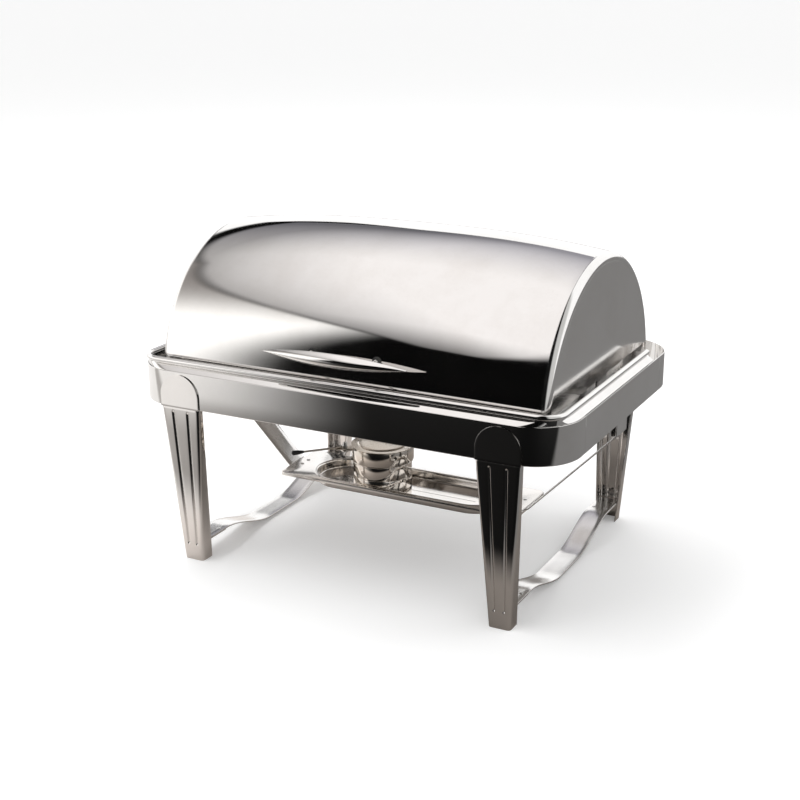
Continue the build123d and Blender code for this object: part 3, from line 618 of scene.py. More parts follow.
def roundedLoop(halfX, halfY, radius, arcSteps=14, sideX=12, sideY=8):
    radius = max(radius, 0.05)
    corners = [
        (halfX - radius, -(halfY - radius), -90), (halfX - radius, halfY - radius, 0),
        (-(halfX - radius), halfY - radius, 90), (-(halfX - radius), -(halfY - radius), 180),
    ]
    loop = []
    for index, (cx, cy, start) in enumerate(corners):
        for step in range(arcSteps + 1):
            angle = radians(start + 90 * step / arcSteps)
            loop.append((cx + radius * cos(angle), cy + radius * sin(angle)))
        nextX, nextY, nextStart = corners[(index + 1) % 4]
        end = (nextX + radius * cos(radians(nextStart)), nextY + radius * sin(radians(nextStart)))
        steps = sideY if index in (0, 2) else sideX
        here = loop[-1]
        for step in range(1, steps):
            share = step / steps
            loop.append((here[0] + (end[0] - here[0]) * share, here[1] + (end[1] - here[1]) * share))
    return loop


def openLoop(halfX, halfY, radius, stopY, arcSteps=16, sideX=24, sideY=14):
    loop = []
    cornerY = -(halfY - radius)
    for step in range(sideY):
        loop.append((halfX, stopY + (cornerY - stopY) * step / sideY))
    for step in range(arcSteps + 1):
        angle = radians(-90 * step / arcSteps)
        loop.append((halfX - radius + radius * cos(angle), cornerY + radius * sin(angle)))
    width = 2 * (halfX - radius)
    for step in range(1, sideX):
        loop.append((halfX - radius - width * step / sideX, -halfY))
    for step in range(arcSteps + 1):
        angle = radians(-90 - 90 * step / arcSteps)
        loop.append((-(halfX - radius) + radius * cos(angle), cornerY + radius * sin(angle)))
    for step in range(1, sideY + 1):
        loop.append((-halfX, cornerY + (stopY - cornerY) * step / sideY))
    return loop


def ringOf(stations, loopMaker, closedLoop, closedProfile=True, caps=True):
    loops = [[(x, y, z) for x, y in loopMaker(inset, radius)] for inset, radius, z in stations]
    count = len(loops[0])
    points = [p for loop in loops for p in loop]
    faces = gridFaces(len(loops), count, closeRows=closedProfile, closeColumns=closedLoop)
    if not closedLoop and caps:
        faces.append(tuple(i * count for i in range(len(loops))))
        faces.append(tuple(i * count + count - 1 for i in reversed(range(len(loops)))))
    return points, faces


def lathe(profile, origin, direction, steps=96, closed=False):
    axis = Vector(direction).normalized()
    side = axis.orthogonal().normalized()
    other = axis.cross(side)
    points = []
    for radius, along in profile:
        for step in range(steps):
            angle = 2 * pi * step / steps
            p = Vector(origin) + axis * along + (side * cos(angle) + other * sin(angle)) * radius
            points.append(tuple(p))
    return points, gridFaces(len(profile), steps, closeRows=closed, closeColumns=True)


def smoothRing(profile, bend=0.3, steps=3):
    result = []
    count = len(profile)
    for i in range(count):
        before, here, after = Vector(profile[i - 1]), Vector(profile[i]), Vector(profile[(i + 1) % count])
        reach = min(bend, (before - here).length * 0.45, (after - here).length * 0.45)
        a = here + (before - here).normalized() * reach
        b = here + (after - here).normalized() * reach
        for step in range(steps + 1):
            t = step / steps
            p = a * (1 - t) ** 2 + here * 2 * t * (1 - t) + b * t * t
            result.append((p.x, p.y))
    return result


def flatPlate(outline, holes, thickness, place, bevel=0.25):
    curve = bpy.data.curves.new("plateOutline", "CURVE")
    curve.dimensions = "2D"
    curve.fill_mode = "BOTH"
    curve.extrude = (thickness / 2 - bevel) * mm
    curve.bevel_depth = bevel * mm
    curve.bevel_resolution = 1
    curve.offset = -bevel * mm
    for ring in [outline] + holes:
        spline = curve.splines.new("POLY")
        spline.points.add(len(ring) - 1)
        for point, (u, v) in zip(spline.points, ring):
            point.co = (u * mm, v * mm, 0, 1)
        spline.use_cyclic_u = True
    holder = bpy.data.objects.new("plateOutline", curve)
    bpy.context.scene.collection.objects.link(holder)
    bpy.context.view_layer.update()
    mesh = bpy.data.meshes.new_from_object(holder.evaluated_get(bpy.context.evaluated_depsgraph_get()))
    bpy.data.objects.remove(holder)
    points = [tuple((place @ v.co) / mm) for v in mesh.vertices]
    faces = [tuple(p.vertices) for p in mesh.polygons]
    bpy.data.meshes.remove(mesh)
    return points, faces


def stripAlong(path, width, across):
    half = Vector(across) * width / 2
    points = []
    for p in path:
        for share in (-1, -0.5, 0, 0.5, 1):
            points.append(tuple(Vector(p) + half * share))
    return points, gridFaces(len(path), 5)


def bentPath(corners, radius, steps=8):
    path = [Vector(corners[0])]
    for before, here, after in zip(corners, corners[1:], corners[2:]):
        here, before, after = Vector(here), Vector(before), Vector(after)
        inward, outward = (before - here).normalized(), (after - here).normalized()
        half = acos(max(-1, min(1, inward.dot(outward)))) / 2
        reach = radius / abs(sin(half) / cos(half)) if abs(cos(half)) > 1e-6 else 0
        a, b = here + inward * reach, here + outward * reach
        for step in range(steps + 1):
            t = step / steps
            path.append(a * (1 - t) ** 2 + here * 2 * t * (1 - t) + b * t * t)
    path.append(Vector(corners[-1]))
    return path


band = {
    "half": (320, 224), "corner": 64, "sheet": 1.2, "low": 230, "high": 280.5, "lip": 7, "seam": 148,
    "seamGap": 0.25, "bend": 1.6,
}


def bandProfile():
    t, low, high, bend = band["sheet"], band["low"], band["high"], band["bend"]
    outer = [(0, high - 0.3), (0, low + bend)]
    outer += [
        (bend - bend * cos(radians(a)), low + bend - bend * sin(radians(a)))
        for a in (22, 45, 68, 90)
    ]
    outer += [
        (band["lip"] + t - 0.2, low), (band["lip"] + t, low + 0.25), (band["lip"] + t, low + t - 0.25),
        (band["lip"] + t - 0.2, low + t),
    ]
    outer += [(t + 0.5, low + t), (t, low + t + 0.5), (t, high - 0.3), (t - 0.3, high), (0.3, high)]
    return outer


def bandPart(yLow, yHigh):
    points, faces = [], []
    stations = [(inset, band["corner"] - inset, z) for inset, z in bandProfile()]
    if yHigh < 0:
        maker = lambda inset, radius: openLoop(
            band["half"][0] - inset, band["half"][1] - inset, radius, yHigh, arcSteps=20, sideX=40,
            sideY=2,
        )
        return ringOf(stations, maker, False)
    rows = []
    steps = 24
    for inset, radius, z in stations:
        rows.append(
            [(band["half"][0] - inset, yLow + (yHigh - yLow) * i / steps, z) for i in range(steps + 1)]
        )
    points = [p for row in rows for p in row]
    faces = gridFaces(len(rows), steps + 1, closeRows=True)
    faces.append(tuple(i * (steps + 1) for i in range(len(rows))))
    faces.append(tuple(i * (steps + 1) + steps for i in reversed(range(len(rows)))))
    return points, faces


frontBand = bandPart(None, -band["seam"])
endBand = bandPart(-band["seam"] + band["seamGap"], band["seam"] - band["seamGap"])
meshPiece("skirtFront", "base", "polished_steel", bandSteel, *frontBand, "skirt_front")
meshPiece("skirtRear", "base", "polished_steel", bandSteel, *mirrored(frontBand, 1), "skirt_rear")


def seamTongue(sign):
    x0, x1 = band["half"][0] - 2 * band["sheet"], band["half"][0] - band["sheet"]
    y0, y1 = band["seam"] - 4, band["seam"] + 10
    z0, z1 = band["low"] + 3.6, band["high"] - 1.2
    corners = [(x, sign * y, z) for x in (x0, x1) for y in (y0, y1) for z in (z0, z1)]
    return corners, [(0, 1, 3, 2), (4, 6, 7, 5), (0, 4, 5, 1), (2, 3, 7, 6), (0, 2, 6, 4), (1, 5, 7, 3)]


endWhole = joinParts([endBand, seamTongue(-1), seamTongue(1)])
meshPiece(
    "skirtEndRight", "base", "polished_steel", bandSteel, *endWhole, "skirt_end_right", merge=False,
    bevel=0.2,
)
meshPiece(
    "skirtEndLeft", "base", "polished_steel", bandSteel, *mirrored(endWhole, 0), "skirt_end_left",
    merge=False, bevel=0.2,
)

rim = {
    "tuck": (317.6, 222.8, 62.8), "bead": (307.95, 211.95, 28), "stop": 125, "low": 270, "ledge": 280.5,
    "top": 287.5, "beadZ": 291.25, "beadRadius": 3.75, "hemLow": 264, "sheet": 1.2,
}


def rimSheet():
    t = rim["sheet"]
    tuckX, tuckY, tuckR = rim["tuck"]
    beadX, beadY, beadR = rim["bead"]
    # each point: share of the way from the tuck to the bead line, a further inset, and a height
    outer = [
        (0, 0, rim["low"] + 0.3), (0, 0, rim["ledge"] - 0.8), (0.03, 0.0, rim["ledge"] - 0.15),
        (0.09, 0, rim["ledge"] + 0.55),
    ]
    outer += [(0.35, 0, rim["ledge"] + 2.35), (0.65, 0, rim["ledge"] + 4.5), (1.0, 0, rim["top"] - 0.1)]
    inner = [
        (1.0, t * 0.5, rim["top"] - 1.2), (0.65, t * 0.4, rim["ledge"] + 3.1),
        (0.35, t * 0.5, rim["ledge"] + 1.0), (0.06, t, rim["ledge"] - 0.9), (0, t, rim["ledge"] - 1.9),
        (0, t, rim["low"] + 0.3), (0, t * 0.5, rim["low"]),
    ]

    def loopFor(values, unused):
        share, inset = values
        x = tuckX + (beadX - tuckX) * share - inset
        y = tuckY + (beadY - tuckY) * share - inset
        r = tuckR + (beadR - tuckR) * share - inset
        return openLoop(x, y, r, rim["stop"], arcSteps=20, sideX=40, sideY=20)

    stations = [((share, inset), None, z) for share, inset, z in outer + inner]
    return ringOf(stations, loopFor, False)


def rimBead():
    beadX, beadY, beadR = rim["bead"]
    r = rim["beadRadius"]
    line = openLoop(beadX, beadY, beadR, rim["stop"] - 1.0, arcSteps=24, sideX=44, sideY=24)
    stepsRound = 20
    rows = []
    for i, (x, y) in enumerate(line):
        before, after = line[max(i - 1, 0)], line[min(i + 1, len(line) - 1)]
        along = Vector((after[0] - before[0], after[1] - before[1], 0)).normalized()
        across = Vector((along.y, -along.x, 0))
        rows.append((Vector((x, y, rim["beadZ"])), along, across))
    sections = []
    start, startAlong, startAcross = rows[0]
    end, endAlong, endAcross = rows[-1]
    # domed ends on the bead
    for share in (0.02, 0.35, 0.65, 0.87):
        sections.append((start - startAlong * sqrt(1 - share**2) * 0.95, startAcross, r * share))
    sections += [(p, across, r) for p, along, across in rows]
    for share in (0.87, 0.65, 0.35, 0.02):
        sections.append((end + endAlong * sqrt(1 - share**2) * 0.95, endAcross, r * share))
    points = []
    for centre, across, radius in sections:
        for k in range(stepsRound):
            angle = 2 * pi * k / stepsRound
            points.append(
                tuple(centre + across * cos(angle) * radius + Vector((0, 0, sin(angle) * radius)))
            )
    faces = gridFaces(len(sections), stepsRound, closeColumns=True)
    faces.append(tuple(range(stepsRound)))
    faces.append(tuple(len(points) - 1 - k for k in range(stepsRound)))
    return points, faces


def rimHem():
    t = rim["sheet"]
    profile = smoothRing(
        [(-t / 2, rim["hemLow"]), (t / 2, rim["hemLow"]), (t / 2, rim["beadZ"]), (-t / 2, rim["beadZ"])]
    )
    beadX, beadY, beadR = rim["bead"]
    maker = lambda inset, radius: openLoop(
        beadX - inset, beadY - inset, radius, rim["stop"], arcSteps=20, sideX=40, sideY=20,
    )
    return ringOf([(inset, beadR - inset, z) for inset, z in profile], maker, False)


meshPiece(
    "rim", "base", "polished_steel", rimSteel, *joinParts([rimSheet(), rimBead(), rimHem()]),
    "rim_frame", merge=False, smoothBelow=40,
)
print("skirt and rim made")

lid = {
    "radius": 195, "pivotZ": 256, "half": 287, "drumEnd": 277, "crown": 16, "power": 2.6, "frontZ": 276,
    "rearZ": 270, "edgeRound": 10, "sheet": 1.2, "wallFront": 281, "wallRear": 290,
}


def lidRise(x):
    return lid["crown"] * (1 - min(abs(x) / lid["drumEnd"], 1) ** lid["power"])


def drumPoint(x, share, inset):
    # share runs from the front edge over the top to the rear edge
    front = asin((lid["frontZ"] - lid["pivotZ"]) / lid["radius"])
    rear = pi - asin((lid["rearZ"] - lid["pivotZ"]) / lid["radius"])
    angle = front + (rear - front) * share
    high = lid["radius"] + lidRise(x) - inset
    wide = lid["radius"] - inset
    return (x, -wide * cos(angle), lid["pivotZ"] + high * sin(angle))


def lidDrum():
    columns, rows = 129, 160
    stations = [
        -cos(pi * i / (columns - 1)) * 0.35 + (2 * i / (columns - 1) - 1) * 0.65
        for i in range(columns)
    ]
    shares = [j / (rows - 1) for j in range(rows)]
    edge = [(0.0, 0.12), (0.0, 0.6), (0.0, 1.08)]
    # around the sheet: outside, rear edge, inside, front edge
    ring = [(s, 0.0) for s in shares] + [(1.0, 0.6)] + [
        (s, lid["sheet"])
        for s in reversed(shares)
    ] + [(0.0, 0.6)]
    points = []
    for x in stations:
        points += [drumPoint(x * lid["drumEnd"], s, inset) for s, inset in ring]
    faces = gridFaces(columns, len(ring), closeColumns=True)
    faces.append(tuple(range(len(ring))))
    faces.append(tuple(len(points) - 1 - k for k in range(len(ring))))
    return points, faces


def lidEnd():
    big, small, t = lid["radius"], lid["edgeRound"], lid["sheet"]
    bandSteps = 16
    outside = [
        (big - small + small * cos(radians(a)), lid["drumEnd"] + small * sin(radians(a)))
        for a in [90 * i / bandSteps for i in range(bandSteps + 1)]
    ]
    outside.append((big - small - 2.0, lid["half"]))
    inside = [
        (big - small + (small - t) * cos(radians(a)), lid["drumEnd"] + (small - t) * sin(radians(a)))
        for a in [90 * i / bandSteps for i in range(bandSteps + 1)]
    ]
    inside.append((big - small - 2.0, lid["half"] - t))
    ring = outside + list(reversed(inside))
    columns = 181
    points = []
    for j in range(columns):
        share = j / (columns - 1)
        for r, x in ring:
            front = asin((lid["frontZ"] - lid["pivotZ"]) / r) if x < lid["drumEnd"] + 0.5 else asin(
                (lid["wallFront"] - 3.5 - lid["pivotZ"]) / r
            )
            rear = asin((lid["rearZ"] - lid["pivotZ"]) / r) if x < lid["drumEnd"] + 0.5 else asin(
                (lid["wallRear"] - 12 - lid["pivotZ"]) / r
            )
            angle = front + (pi - rear - front) * share
            points.append((x, -r * cos(angle), lid["pivotZ"] + r * sin(angle)))
    faces = gridFaces(columns, len(ring), closeColumns=True)
    faces.append(tuple(range(len(ring))))
    faces.append(tuple(len(points) - 1 - k for k in range(len(ring))))
    # flat wall with its lug and pivot hole, drawn in (y, z)
    r = big - small - 1.95
    pz = lid["pivotZ"]
    frontAngle = asin((lid["wallFront"] - pz) / r)
    rearAngle = pi - asin((lid["wallRear"] - pz) / r)
    outline = [
        (-r * cos(a), pz + r * sin(a))
        for a in [frontAngle + (rearAngle - frontAngle) * i / 160 for i in range(161)]
    ]
    lugStart = lid["wallFront"] + (lid["wallRear"] - lid["wallFront"]) * 0.55
    outline += [(18, lugStart + 0.6)]
    outline += [(15 * cos(radians(a)), pz + 15 * sin(radians(a))) for a in range(0, -181, -10)]
    outline += [(-18, lugStart - 0.9)]
    hole = [(3.58 * cos(radians(a)), pz + 3.58 * sin(radians(a))) for a in range(0, 360, 12)]
    place = Matrix(((0, 0, 1, (lid["half"] - t / 2) * mm), (1, 0, 0, 0), (0, 1, 0, 0), (0, 0, 0, 1)))
    return joinParts([(points, faces), flatPlate(outline, [hole], t, place, bevel=0.15)])


meshPiece("lidDrum", "lid", "polished_steel", lidSteel, *lidDrum(), "lid_sheet", smoothBelow=40)
rightEnd = lidEnd()
meshPiece(
    "lidEndRight", "lid", "polished_steel", wallSteel, *rightEnd, "lid_end_right", merge=False,
    smoothBelow=30,
)
meshPiece(
    "lidEndLeft", "lid", "polished_steel", wallSteel, *mirrored(rightEnd, 0), "lid_end_left",
    merge=False, smoothBelow=30,
)
print("lid made")

handle = {
    "half": 106, "height": 21, "depth": 12, "back": -213.4, "z": 326, "bow": 0.5, "tipHeight": 1.5,
    "tipDepth": 2.5, "post": 3.5, "postLength": 28.2, "pad": 6.5, "postX": 48, "postZ": 323,
    "faceY": -184.9,
}


def leafBar():
    stations = 97
    ringSteps = 12
    points = []
    for i in range(stations):
        share = 2 * i / (stations - 1) - 1
        share = (abs(share) ** 0.8) * (1 if share >= 0 else -1)
        high = (handle["height"] * (1 - share**2) + handle["tipHeight"] * share**2) / 2
        deep = handle["depth"] * (1 - share**2) + handle["tipDepth"] * share**2
        back = handle["back"] + handle["bow"] * share**2
        ring = [(back, -high * 0.80)]
        upper = []
        for k in range(1, ringSteps):
            t = k / ringSteps
            # a full side that runs to a soft crease at the front
            upper.append(
                (
                    back - deep * (1 - (1 - t) ** 1.5),
                    high * (1 - t**1.75) * (0.80 + 0.20 * min(1, t / 0.25)),
                )
            )
        ring = [
            (back, -high * 0.80), (back, 0), (back, high * 0.80),
        ] + upper + [(back - deep, 0.0)] + [(y, -z) for y, z in reversed(upper)]
        points += [(share * handle["half"], y, handle["z"] + z) for y, z in ring]
    count = len(ring)
    faces = gridFaces(stations, count, closeColumns=True)
    faces.append(tuple(range(count)))
    faces.append(tuple(len(points) - 1 - k for k in range(count)))
    return points, faces


meshPiece("lidHandle", "lid", "polished_steel", lidSteel, *leafBar(), "lid_handle", smoothBelow=26)
normal = Vector((0, -cos(0.36), sin(0.36)))
postParts, padParts = [], []
for side in (-1, 1):
    root = Vector((side * handle["postX"], handle["faceY"] - 0.6, handle["postZ"]))
    post, pad, length = handle["post"], handle["pad"], handle["postLength"]
    postProfile = [(0.02, 0), (post - 0.2, 0), (post, 0.4), (post, 2.5), (post - 0.4, 4.2)]
    postProfile += [(post - 0.4, length - 4.2), (post, length - 1.8), (post, length), (0.02, length)]
    postParts.append(lathe(postProfile, root, (0, -1, 0), 40))
    padProfile = [
        (3.3, 0.05), (pad - 0.3, 0.05), (pad, 0.4), (pad - 0.1, 1.1), (pad - 0.6, 1.5), (3.3, 1.5),
    ]
    padParts.append(
        lathe(padProfile, Vector((side * handle["postX"], handle["faceY"], handle["postZ"])), normal, 48)
    )
meshPiece("handlePosts", "lid", "polished_steel", lidSteel, *joinParts(postParts), "handle_posts")
meshPiece("handlePads", "lid", "bumper_rubber", bumperRubber, *joinParts(padParts), "handle_pads")

foodPan = {
    "half": (265, 162.5), "corner": 44, "body": (253, 150.5), "bodyCorner": 34, "top": 275.4,
    "bottom": 210.4, "sheet": 1.0, "round": 12,
}
waterPan = {
    "opening": (257, 154.5), "corner": 30, "rim": (272, 169.5), "rimCorner": 45, "top": 274,
    "tray": 264, "bottom": 199, "sheet": 1.2, "round": 12, "trayHalf": (317.6, 222.8),
    "trayCorner": 62.8, "trayStop": -25,
}


def panShell(half, corner, sheet, top, bottom, roundness, flange):
    # inside of the bowl, flange, then back down the outside
    x0, y0 = half
    steps = 8
    stations = []
    inner, outer = roundness - sheet, roundness

    def put(inset, z):
        stations.append((inset, z))

    put(x0 - 1.0, bottom + sheet)
    put(min(x0, y0) * 0.72, bottom + sheet)
    put(inner + sheet + 6, bottom + sheet)
    for i in range(steps + 1):
        a = radians(90 * i / steps)
        put(sheet + inner - inner * sin(a), bottom + sheet + inner - inner * cos(a))
    put(sheet, top - 2.4)
    for a in (30, 60, 90):
        put(sheet - 2.2 * (1 - cos(radians(a))), top - 2.2 + 2.2 * sin(radians(a)))
    put(-flange + 0.5, top)
    put(-flange, top - 0.35)
    put(-flange, top - sheet + 0.3)
    put(-flange + 0.4, top - sheet)
    put(-1.4, top - sheet)
    put(-0.4, top - sheet - 0.5)
    put(0, top - sheet - 1.5)
    put(0, bottom + outer)
    for i in range(1, steps + 1):
        a = radians(90 * i / steps)
        put(outer - outer * sin(a), bottom + outer - outer * cos(a))
    put(min(x0, y0) * 0.72, bottom)
    put(x0 - 1.0, bottom)

    def maker(inset, unused):
        shrink = min(inset, y0 - 1.0)
        return roundedLoop(x0 - min(inset, x0 - 1.0), y0 - shrink, max(corner - inset, 0.4), 12, 12, 8)

    points, faces = ringOf([(inset, None, z) for inset, z in stations], maker, True, closedProfile=False)
    count = len(points) // len(stations)
    faces.append(tuple(reversed(range(count))))
    faces.append(tuple(len(points) - count + k for k in range(count)))
    return points, faces


meshPiece(
    "foodPan", "food_pan", "pan_steel", panSteel,
    *panShell(foodPan["body"], foodPan["bodyCorner"], 1.0, foodPan["top"], foodPan["bottom"], 12, 12),
    "food_pan", smoothBelow=50,
)


def waterTray():
    t = waterPan["sheet"]
    z = waterPan["tray"]
    outerX, outerY = waterPan["trayHalf"]
    rimX, rimY = waterPan["rim"]
    stop = waterPan["trayStop"]

    def maker(share, unused):
        x = rimX - t + (outerX - rimX + t) * share
        y = rimY - t + (outerY - rimY + t) * share
        r = waterPan["rimCorner"] - t + (waterPan["trayCorner"] - waterPan["rimCorner"] + t) * share
        return openLoop(x, y, r, stop, arcSteps=14, sideX=30, sideY=8)

    return ringOf(
        [
            (0, None, z), (0.5, None, z), (1, None, z), (1, None, z - t), (0.5, None, z - t),
            (0, None, z - t),
        ],
        maker, False,
    )


def waterRimWall():
    t = waterPan["sheet"]
    profile = smoothRing(
        [
            (0, waterPan["tray"]), (t, waterPan["tray"]), (t, waterPan["top"] - 1.0),
            (0, waterPan["top"] - 1.0),
        ]
    )
    maker = lambda inset, radius: roundedLoop(
        waterPan["rim"][0] - inset, waterPan["rim"][1] - inset, radius,
    )
    return ringOf([(inset, waterPan["rimCorner"] - inset, z) for inset, z in profile], maker, True)


waterBowl = panShell(
    (waterPan["opening"][0] + 1.2, waterPan["opening"][1] + 1.2), 31.2, 1.2, waterPan["top"],
    waterPan["bottom"], 12, 13.8,
)
meshPiece(
    "waterPan", "base", "pan_steel", panSteel, *joinParts([waterBowl, waterTray(), waterRimWall()]),
    "water_pan", merge=True, smoothBelow=50,
)
print("handle and pans made")

leg = {
    "x": 236, "top": 62, "foot": 31, "depthTop": 9, "depthFoot": 22, "faceTop": 225.5, "faceFoot": 211,
    "sheet": 1.5, "round": 4, "shoulder": 230, "arch": 246, "fluteRadius": 2.9, "fluteDepth": 1.9,
    "fluteLow": 26, "fluteHigh": 222, "fluteTop": 24, "fluteFoot": 12.5,
}


def legShape():
    t = leg["sheet"] / 2
    zRows = [0, 6, 12, 18] + [22 + 0.9 * i for i in range(9)] + [
        30 + 188 * i / 46
        for i in range(1, 46)
    ] + [217.5 + 0.9 * i for i in range(9)] + [227, 230]
    fluteSteps = [-3.2, -2.6, -2.0, -1.3, -0.65, 0, 0.65, 1.3, 2.0, 2.6, 3.2]

    def faceAt(z):
        share = z / leg["shoulder"]
        return leg["faceFoot"] + (leg["faceTop"] - leg["faceFoot"]) * min(share, 1)

    def grooveDepth(x, z):
        low, high = leg["fluteLow"], leg["fluteHigh"]
        zc = min(max(z, low), high)
        share = zc / leg["shoulder"]
        centre = (leg["fluteFoot"] + (leg["fluteTop"] - leg["fluteFoot"]) * share) / 2
        d = hypot(abs(x) - centre, (z - zc) * 0.9)
        return leg["fluteDepth"] * 0.5 * (
            1 + cos(pi * d / leg["fluteRadius"])
        ) if d < leg["fluteRadius"] else 0

    def halfFaceColumns(half, z):
        share = min(z / leg["shoulder"], 1)
        centre = (leg["fluteFoot"] + (leg["fluteTop"] - leg["fluteFoot"]) * share) / 2
        edge = half - leg["round"]
        columns = [0, (centre - 3.2) * 0.5] + [centre + s for s in fluteSteps]
        last = centre + 3.2
        columns += [last + (edge - last) * k / 4 for k in (1, 2, 3, 4)]
        return columns

    rows = []
    for z in zRows:
        share = z / leg["shoulder"]
        half = (leg["foot"] + (leg["top"] - leg["foot"]) * share) / 2 - t
        flange = leg["depthFoot"] + (leg["depthTop"] - leg["depthFoot"]) * share
        face = faceAt(z) - t
        xs = halfFaceColumns(half, z)
        bend = leg["round"] - t
        right = [(x, -(face - grooveDepth(x, z))) for x in xs]
        right += [
            (
                half - leg["round"] + (leg["round"]) * sin(radians(a)),
                -(face - leg["round"] * (1 - cos(radians(a)))),
            )
            for a in (15, 30, 45, 60, 75, 90)
        ]
        depthEnd = -(face - flange + t)
        startY = right[-1][1]
        right += [(half, startY + (depthEnd - startY) * k / 3) for k in (1, 2, 3)]
        full = [(-x, y) for x, y in reversed(right[1:])] + right
        rows.append([(leg["x"] + x, y, z) for x, y in full])
    channelPart = ([p for row in rows for p in row], gridFaces(len(rows), len(rows[0])))
    # the arched tab, on the face of the skirt
    tabRows = []
    archHalf = leg["top"] / 2
    for k in range(25):
        if k < 5:
            z = leg["shoulder"] + (leg["arch"] - leg["shoulder"]) * k / 5
            half = archHalf
        else:
            angle = radians(90 * (k - 5) / 19)
            z = leg["arch"] + archHalf * sin(angle) * 0.9999
            half = max(archHalf * cos(angle), 0.4)
        xs = [half * (2 * j / 24 - 1) for j in range(25)]
        tabRows.append([(leg["x"] + x, -(leg["faceTop"] - t), z) for x in xs])
    tabPart = ([p for row in tabRows for p in row], gridFaces(len(tabRows), 25))
    return channelPart, tabPart


channelPart, tabPart = legShape()
legPart = joinParts([channelPart, tabPart])
for name, flips in (("FrontRight", []), ("FrontLeft", [0]), ("RearRight", [1]), ("RearLeft", [0, 1])):
    part = legPart
    for axis in flips:
        part = mirrored(part, axis)
    node = "leg_" + (
        "front" if name.startswith("Front") else "rear"
    ) + ("_right" if name.endswith("Right") else "_left")
    meshPiece(
        "leg" + name, "base", "leg_steel", legSteel, *part, node, merge=False, smoothBelow=45,
        thickness=leg["sheet"], bevel=0.3,
    )

strap = {
    "x": 236, "width": 33, "sheet": 2, "high": 28.5, "low": 3.5, "end": 191.3, "bend": 151.3,
    "flat": 33.3,
}


def strapPath():
    high, low = strap["high"] + strap["sheet"] / 2, strap["low"] + strap["sheet"] / 2
    half = [(strap["flat"] * k / 6, low) for k in range(7)]
    for k in range(1, 33):
        s = k / 32
        half.append(
            (
                strap["flat"] + (strap["bend"] - strap["flat"]) * s,
                low + (high - low) * (3 * s * s - 2 * s**3),
            )
        )
    half += [(strap["bend"] + (strap["end"] - strap["bend"]) * k / 6, high) for k in range(1, 7)]
    return [(strap["x"], -y, z) for y, z in reversed(half[1:])] + [(strap["x"], y, z) for y, z in half]


strapPart = stripAlong(strapPath(), strap["width"], (1, 0, 0))
meshPiece(
    "strapRight", "base", "strap_steel", strapSteel, *strapPart, "end_strap_right", merge=False,
    smoothBelow=40, thickness=strap["sheet"], bevel=0.45,
)
meshPiece(
    "strapLeft", "base", "strap_steel", strapSteel, *mirrored(strapPart, 0), "end_strap_left",
    merge=False, smoothBelow=40, thickness=strap["sheet"], bevel=0.45,
)

rivet = {"radius": 3, "head": 0.8, "strapY": 161.3, "gap": 18, "shelfX": 178, "shelfZ": 87.8}
dome = [
    (0.02, rivet["head"]), (0.9, rivet["head"] - 0.03), (1.8, rivet["head"] - 0.14),
    (2.5, rivet["head"] - 0.36), (2.9, 0.22), (3.0, 0.0),
]
strapRivets, shelfRivets = [], []
for signX in (-1, 1):
    for signY in (-1, 1):
        for across in (-0.5, 0.5):
            strapRivets.append(
                lathe(
                    dome,
                    (
                        signX * strap["x"] + across * rivet["gap"], signY * rivet["strapY"],
                        strap["high"] + strap["sheet"],
                    ),
                    (0, 0, 1), 28,
                )
            )
    for across in (-0.5, 0.5):
        shelfRivets.append(
            lathe(dome, (signX * rivet["shelfX"], across * rivet["gap"], rivet["shelfZ"]), (0, 0, 1), 28)
        )
meshPiece("strapRivets", "base", "fastener_steel", fastenerSteel, *joinParts(strapRivets), "strap_rivets")
meshPiece("shelfRivets", "base", "fastener_steel", fastenerSteel, *joinParts(shelfRivets), "shelf_rivets")
print("legs and straps made")

shelf = {
    "half": (191, 53), "corner": 9, "top": 87.8, "sheet": 1.2, "lip": 5, "track": (150, 45),
    "floor": 74.3,
}


